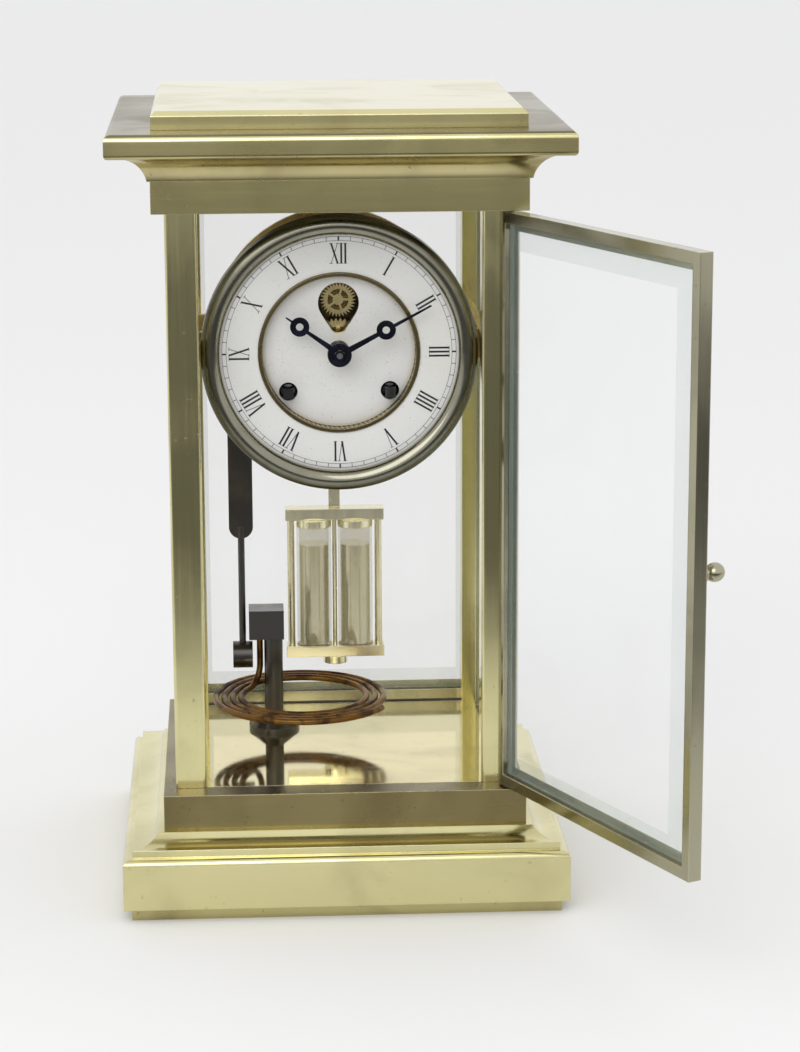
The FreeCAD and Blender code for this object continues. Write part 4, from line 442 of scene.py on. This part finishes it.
def steel_arbor(name):
    """Steel on the arbor and pinion of a wheel: the facets in front of and behind its toothed rim."""
    spot = joint_spot(name)
    mesh = nodes[name].data

    def reach(point):
        return math.hypot(point.x - spot.x, point.z - spot.z)

    widest = max(reach(vertex.co) for vertex in mesh.vertices)
    rim = [vertex.co.y for vertex in mesh.vertices if reach(vertex.co) > RIM_FROM * widest]
    low = min(rim) - RIM_EDGE * MM
    high = max(rim) + RIM_EDGE * MM
    facets(name, 1, lambda centre, normal: not low < centre.y < high)


def dress_case():
    upright = (900, 900, 16)
    level = (16, 16, 900)
    bars = polished_brass("case_brass_bars", CASE_BRASS, CASE_TARNISH, level, patina=0.32)
    posts = polished_brass("case_brass_posts", CASE_BRASS, CASE_TARNISH, upright, patina=0.4)
    # The darker copies of brass made here are painted shade. The case is one polished brass, and its dark
    # bands are reflections.
    shade_copy = polished_brass("painted_shade_brass", SHADED_BRASS, SHADED_TARNISH, level, rough=0.2, patina=0.7)
    shade_cove = polished_brass("painted_shade_cove_brass", SHADED_COVE_BRASS, SHADED_TARNISH, level, rough=0.18, patina=0.6)
    dress(["cornice_cap"], bars, shade_copy)
    # The cap's upright sides take the darker copy: painted shade.
    facets("cornice_cap", 1, lambda centre, normal: abs(normal.z) < UPRIGHT)
    shade_sill = polished_brass("painted_shade_sill_brass", SHADED_SILL_BRASS, SHADED_SILL_TARNISH, level, rough=0.2, patina=0.6)
    shade_ledge = polished_brass("painted_shade_ledge_brass", SHADED_LEDGE_BRASS, SHADED_SILL_TARNISH, level, rough=0.24, patina=0.5)
    dress(["cornice"], bars, shade_ledge, shade_cove, shade_copy)
    # Cornice facets take darker copies of brass by which way they face, with the tops darkest: painted shade.
    facets("cornice", 1, lambda centre, normal: normal.z > LEVEL)
    facets("cornice", 2, lambda centre, normal: normal.z < -UPRIGHT)
    facets("cornice", 3, lambda centre, normal: abs(normal.z) < UPRIGHT)
    # Both rails are wholly in darker copies of brass: painted shade.
    dress(["upper_rail"], shade_copy)
    dress(["lower_rail"], shade_sill)
    dress(["base_plinth"], bars, shade_copy)
    # The plinth's lowest facets take the darker copy of brass: a painted shadow line under the plinth.
    facets("base_plinth", 1, lambda centre, normal: centre.z < PLINTH_LIP * MM)
    dress(["post_front_left", "post_front_right", "post_rear_left", "post_rear_right"], posts)
    doors = polished_brass("door_brass", DOOR_BRASS, DOOR_TARNISH, upright, rough=0.15)
    dress(["front_door_frame", "back_door_frame"], doors)
    knobs = polished_brass("knob_brass", DOOR_BRASS, DOOR_TARNISH, (400, 400, 400), rough=0.16)
    dress(["front_door_knob", "back_door_knob", "hinge_pins", "post_nuts"], knobs)
    floor = polished_brass("floor_brass", FLOOR_BRASS, CASE_TARNISH, (12, 700, 700), rough=0.07, patina=0.3)
    dress(["floor_plate"], floor)
    dial = joint_spot("minute_hand")
    dress(["dial_bezel"], shaded_bezel_brass((dial.x, dial.z)))


def dress_glass():
    pane = clear_glass("pane_glass", GLASS_CLEAR, 0.07)
    # The bevel strips get denser, greener glass: painted reflection along the bevels.
    bevel = clear_glass("bevel_glass", GLASS_EDGE, 0.26)
    for name in ("side_glass_left", "side_glass_right", "front_door_glass", "back_door_glass"):
        dress([name], pane, bevel)
        broad = max(nodes[name].data.polygons, key=lambda polygon: polygon.area).normal.copy()
        facets(name, 1, lambda centre, normal: abs(normal.dot(broad)) < FLAT_PANE)
    dress(["jars"], clear_glass("jar_glass", JAR_AMBER, 0.24))


def dress_movement():
    grained = satin_brass("plate_brass", MOVEMENT_BRASS, MOVEMENT_TARNISH, (1500, 1500, 20))
    spun = satin_brass("wheel_brass", MOVEMENT_BRASS, MOVEMENT_TARNISH, (700, 700, 700), rough=0.22)
    steel = turned_steel("pivot_steel", BRIGHT_STEEL, DULL_STEEL)
    dress(["rear_plate", "movement_carriers", "suspension_cock"], grained)
    dress(["plate_pillars", "going_barrel", "strike_barrel"], spun)
    dress(["plate_nuts", "carrier_screws"], steel)
    squares = turned_steel("square_steel", SQUARE_STEEL, SQUARE_WORN)
    dress(["going_winding_arbor", "strike_winding_arbor"], squares)
    # Dark patches round the escape wheel and the barrels, where they show through the dial: painted shade.
    shade_spots = []
    for body, radius in (("escape_wheel", SHADE_ROUND_ESCAPE), ("going_barrel", SHADE_ROUND_BARREL),
                         ("strike_barrel", SHADE_ROUND_BARREL)):
        spot = joint_spot(body)
        shade_spots.append(((spot.x, spot.z), radius * MM))
    shaded_plate = satin_brass("painted_shade_plate", MOVEMENT_BRASS, MOVEMENT_TARNISH, (1500, 1500, 20), shade_spots=shade_spots)
    dress(["front_plate"], shaded_plate)
    # The dial plate's facets round the recessed centre take a dark brass: a painted shadow at the recess
    # edge.
    shadow_ring = polished_brass("painted_shadow_ring", SHADOW_RING_BRASS, SHADOW_RING_TARNISH, (600, 600, 600), rough=0.22)
    dress(["dial_plate"], shaded_plate, shadow_ring)
    dial = joint_spot("minute_hand")
    facets("dial_plate", 1, lambda centre, normal: (
        centre.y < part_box("dial_ring")[1].y
        and SHADOW_RING_INNER * MM < math.hypot(centre.x - dial.x, centre.z - dial.z) < SHADOW_RING_OUTER * MM))
    # The escape bridge is darkened nearly to black: painted shade in the dial's aperture.
    dress(["escape_bridge"], satin_brass("painted_shade_bridge", SHADED_BRIDGE_BRONZE, HOLE_SHADE, (1500, 1500, 20)))
    for name in ("intermediate_wheel", "centre_wheel", "third_wheel", "escape_wheel", "minute_wheel",
                 "pin_wheel", "fly"):
        dress([name], spun, steel)
        steel_arbor(name)
    dress(["hour_wheel", "cannon_pinion"], spun)
    dress(["anchor"], steel, pallet_stone())
    pivot = joint_spot("escape_wheel")
    pallet_reach = PALLET_REACH * MM
    facets("anchor", 1, lambda centre, normal: (
        centre.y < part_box("escape_wheel")[0].y + PALLET_BACK * MM
        and abs(math.hypot(centre.x - pivot.x, centre.z - pivot.z) - pallet_reach) < PALLET_ALONG * MM
        and abs(abs(centre.x) - pallet_reach * math.sqrt(0.5)) < PALLET_ACROSS * MM))


def dress_strike():
    lacquer = black_lacquer()
    dress(["hammer", "hammer_head", "gong_stand"], lacquer)
    dress(["gong_coil"], browned_gong())


def dress_pendulum():
    pale = polished_brass(
        "pendulum_brass", PENDULUM_BRASS, PENDULUM_TARNISH, (500, 500, 60), rough=0.2, patina=0.4)
    dress(["jar_frame", "pendulum_rod", "rating_nut"], pale)
    dress(["suspension_spring"], turned_steel("spring_steel", BRIGHT_STEEL, DULL_STEEL, rough=0.22))
    dress(["mercury"], mercury_metal())


def dial_spot():
    low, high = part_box("dial_ring")
    return (low.x + high.x) / 2, (low.z + high.z) / 2


def dress_dial():
    for part, (darken_from, darken_to) in (("ring", RING_DARKENING), ("centre", CENTRE_EDGE_SHADE)):
        white = enamel(f"{part}_enamel", dial_spot(), darken_from * MM, darken_to * MM)
        dress([f"dial_{part}"], white)
    dress(["hour_hand", "minute_hand", "hand_nut"], blued_steel())


# Printed dial: plain hour figures and a minute track, as thin films of ink on the enamel
FIGURES = ["XII", "I", "II", "III", "IIII", "V", "VI", "VII", "VIII", "IX", "X", "XI"]
FIGURE_LOW = 29.9
FIGURE_HIGH = 36.7
THICK = 0.62
THIN = 0.20
SERIF = 0.17
LETTER_WIDTH = {"I": 1.35, "V": 3.1, "X": 3.2}
I_INSET = 0.1
V_INSET = 0.55
X_INSET = 0.5
V_THICK_SERIF = 0.6
V_THIN_SERIF = 0.5
X_SERIF = 0.55
TRACK_INNER = 37.55
TRACK_OUTER = 38.95
TRACK_LINE = 0.06
HOUR_MARK = 0.26
MINUTE_MARK = 0.09
INK_DEPTH = 0.05
INK_BURIED = 0.03


def bar(left, right, low, high, lean=0.0):
    """A stroke's four corners, in millimetres: across the figure, and out from its foot."""
    return [(left, low), (right, low), (right + lean, high), (left + lean, high)]


def letter_strokes(letter, start, height):
    width = LETTER_WIDTH[letter]
    middle = start + width / 2
    if letter == "I":
        strokes = [bar(middle - THICK / 2, middle + THICK / 2, 0, height)]
        feet = [(start + I_INSET, start + width - I_INSET, level) for level in (0, height)]
    elif letter == "V":
        reach = width / 2 - V_INSET
        strokes = [
            bar(middle - THICK / 2, middle + THICK / 2, 0, height, -reach),
            bar(middle - THIN / 2, middle + THIN / 2, 0, height, reach),
        ]
        feet = [
            (middle - reach - V_THICK_SERIF, middle - reach + V_THICK_SERIF, height),
            (middle + reach - V_THIN_SERIF, middle + reach + V_THIN_SERIF, height),
        ]
    else:
        reach = width / 2 - X_INSET
        strokes = [
            bar(middle + reach - THICK / 2, middle + reach + THICK / 2, 0, height, -2 * reach),
            bar(middle - reach - THIN / 2, middle - reach + THIN / 2, 0, height, 2 * reach),
        ]
        feet = []
        for level in (0, height):
            feet.append((middle - reach - X_SERIF, middle - reach + X_SERIF, level))
            feet.append((middle + reach - X_SERIF, middle + reach + X_SERIF, level))
    for left, right, level in feet:
        foot = level if level == 0 else level - SERIF
        strokes.append(bar(left, right, foot, foot + SERIF))
    return strokes


def figure_strokes(figure):
    width = sum(LETTER_WIDTH[letter] for letter in figure)
    start = -width / 2
    strokes = []
    for letter in figure:
        strokes.extend(letter_strokes(letter, start, FIGURE_HIGH - FIGURE_LOW))
        start += LETTER_WIDTH[letter]
    return strokes


def ink_film(mesh, corners, front, back):
    """A closed film of ink between two planes, over the polygon of these corners."""
    near = [mesh.verts.new((x, front, z)) for x, z in corners]
    far = [mesh.verts.new((x, back, z)) for x, z in corners]
    count = len(corners)
    mesh.faces.new(near)
    mesh.faces.new(list(reversed(far)))
    for index in range(count):
        following = (index + 1) % count
        mesh.faces.new((near[following], near[index], far[index], far[following]))


def ink_ring(mesh, inner, outer, centre, front, back, steps=180):
    """A closed ring of ink between two radii and two planes."""
    rings = []
    for radius, depth in ((inner, front), (outer, front), (outer, back), (inner, back)):
        ring = []
        for step in range(steps):
            angle = math.tau * step / steps
            ring.append(mesh.verts.new((
                centre[0] + radius * math.sin(angle), depth, centre[1] + radius * math.cos(angle))))
        rings.append(ring)
    for first, second in zip(rings, rings[1:] + rings[:1]):
        for step in range(steps):
            following = (step + 1) % steps
            mesh.faces.new((first[step], first[following], second[following], second[step]))


def made_object(name, mesh, material):
    data = bpy.data.meshes.new(name)
    mesh.to_mesh(data)
    mesh.free()
    data.materials.append(material)
    made = bpy.data.objects.new(name, data)
    bpy.context.scene.collection.objects.link(made)
    return made


def printed_piece(name, mesh, material):
    bmesh.ops.recalc_face_normals(mesh, faces=mesh.faces[:])
    piece = made_object(name, mesh, material)
    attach(piece, "case")


def turned_corners(corners, centre, angle, start=0.0):
    """Corners across and out from a start, in millimetres, set at an angle on the dial, in metres."""
    turned = []
    for across, out in corners:
        reach = start + out
        turned.append((
            centre[0] + MM * (reach * math.sin(angle) + across * math.cos(angle)),
            centre[1] + MM * (reach * math.cos(angle) - across * math.sin(angle))))
    return turned


def print_dial():
    centre = dial_spot()
    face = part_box("dial_ring")[0].y
    front = face - INK_DEPTH * MM
    back = face + INK_BURIED * MM
    ink = dial_ink()
    figures = bmesh.new()
    for hour, figure in enumerate(FIGURES):
        for stroke in figure_strokes(figure):
            corners = turned_corners(stroke, centre, math.radians(30 * hour), FIGURE_LOW)
            ink_film(figures, corners, front, back)
    printed_piece("hour_figures", figures, ink)
    track = bmesh.new()
    for radius in (TRACK_INNER, TRACK_OUTER):
        ink_ring(track, (radius - TRACK_LINE) * MM, (radius + TRACK_LINE) * MM, centre, front, back)
    for minute in range(60):
        half = HOUR_MARK if minute % 5 == 0 else MINUTE_MARK
        mark = bar(-half, half, TRACK_INNER, TRACK_OUTER)
        ink_film(track, turned_corners(mark, centre, math.radians(6 * minute)), front, back)
    printed_piece("minute_track", track, ink)


def lay_floor():
    """One wide pale sheet of paper."""
    sheet = bmesh.new()
    bmesh.ops.create_circle(sheet, cap_ends=True, segments=96, radius=FLOOR_RADIUS)
    finish = Finish("pale_sheet")
    fibre = finish.noise(350, detail=3)
    finish.set(Base_Color=SHEET_PALE, Roughness=0.75 + fibre * 0.15)
    made_object("floor", sheet, finish.material)


def lay_card():
    """A dark card before the clock that only reflections see: it gives the polished brass its dark side."""
    sheet = bmesh.new()
    corners = (
        (-CARD_HALF, -CARD_FAR), (CARD_HALF, -CARD_FAR), (CARD_HALF, -CARD_NEAR), (-CARD_HALF, -CARD_NEAR))
    sheet.faces.new([sheet.verts.new((x, y, CARD_LIFT)) for x, y in corners])
    finish = Finish("card_cloth")
    along = finish.add("ShaderNodeSeparateXYZ", None, {0: finish.place}, output="Y")
    nap = finish.noise(220, detail=3)
    finish.set(Base_Color=finish.blend(nap, CARD_GREY, CARD_NAP), Roughness=0.8 + nap * 0.1)
    finish.set(Alpha=finish.rise(along * -1, CARD_NEAR, CARD_FULL))
    card = made_object("dark_card", sheet, finish.material)
    card.visible_camera = False
    card.visible_diffuse = False
    card.visible_transmission = False
    card.visible_shadow = False


def light_studio():
    """A bright room and one soft panel high in front.

    The room's soft light is dimmer from the front at eye level.
    The camera, metal and glass see the room bright all round.
    """
    world = bpy.data.worlds.new("studio")
    world.use_nodes = True
    bpy.context.scene.world = world
    room = Shading(world.node_tree)
    heading = room.add("ShaderNodeTexCoord", output="Generated")
    ahead = room.add("ShaderNodeSeparateXYZ", None, {0: heading}, output="Y")
    upward = room.add("ShaderNodeSeparateXYZ", None, {0: heading}, output="Z")
    seen = room.add("ShaderNodeLightPath", output="Is Camera Ray")
    mirrored = room.add("ShaderNodeLightPath", output="Is Glossy Ray")
    through = room.add("ShaderNodeLightPath", output="Is Transmission Ray")
    soft = 1 - (seen + mirrored + through)
    front = 1 - room.rise(ahead, *DIM_AHEAD)
    low = 1 - room.rise(upward, *DIM_UPWARD)
    ground = world.node_tree.nodes["Background"]
    room.feed(ground.inputs["Color"], room.blend(front * low * soft, ROOM_BRIGHT, ROOM_DIM))
    ground.inputs["Strength"].default_value = 1.0
    panel = bpy.data.lights.new("front_panel", "AREA")
    panel.shape = "RECTANGLE"
    panel.size = PANEL_WIDTH
    panel.size_y = PANEL_DEPTH
    panel.energy = PANEL_WATTS
    lamp = bpy.data.objects.new("front_panel", panel)
    lamp.location = PANEL_SPOT
    lamp.rotation_euler = (Vector(PANEL_AIM) - lamp.location).to_track_quat("-Z", "Y").to_euler()
    bpy.context.scene.collection.objects.link(lamp)


CAMERA_SPOT = (-0.0346, -1.0174, 0.3581)
CAMERA_YAW = 3.17
CAMERA_PITCH = 13.29
CAMERA_ROLL = -0.22
CAMERA_LENS = 102.98


def set_camera():
    yaw = math.radians(CAMERA_YAW)
    pitch = math.radians(CAMERA_PITCH)
    roll = math.radians(CAMERA_ROLL)
    forward = Vector((math.sin(yaw) * math.cos(pitch), math.cos(yaw) * math.cos(pitch), -math.sin(pitch)))
    right = forward.cross(Vector((0, 0, 1))).normalized()
    up = right.cross(forward)
    tilted_right = right * math.cos(roll) + up * math.sin(roll)
    tilted_up = up * math.cos(roll) - right * math.sin(roll)
    turn = Matrix((tilted_right, tilted_up, -forward)).transposed().to_4x4()
    lens = bpy.data.cameras.new("camera")
    lens.lens = CAMERA_LENS
    lens.sensor_width = 36
    lens.clip_start = 0.05
    lens.clip_end = 50
    camera = bpy.data.objects.new("camera", lens)
    camera.matrix_world = Matrix.Translation(CAMERA_SPOT) @ turn
    bpy.context.scene.collection.objects.link(camera)
    bpy.context.scene.camera = camera


set_camera()
dress_case()
dress_glass()
dress_movement()
dress_strike()
dress_pendulum()
dress_dial()
print_dial()
lay_floor()
lay_card()
light_studio()
bpy.context.scene.view_settings.view_transform = "Standard"
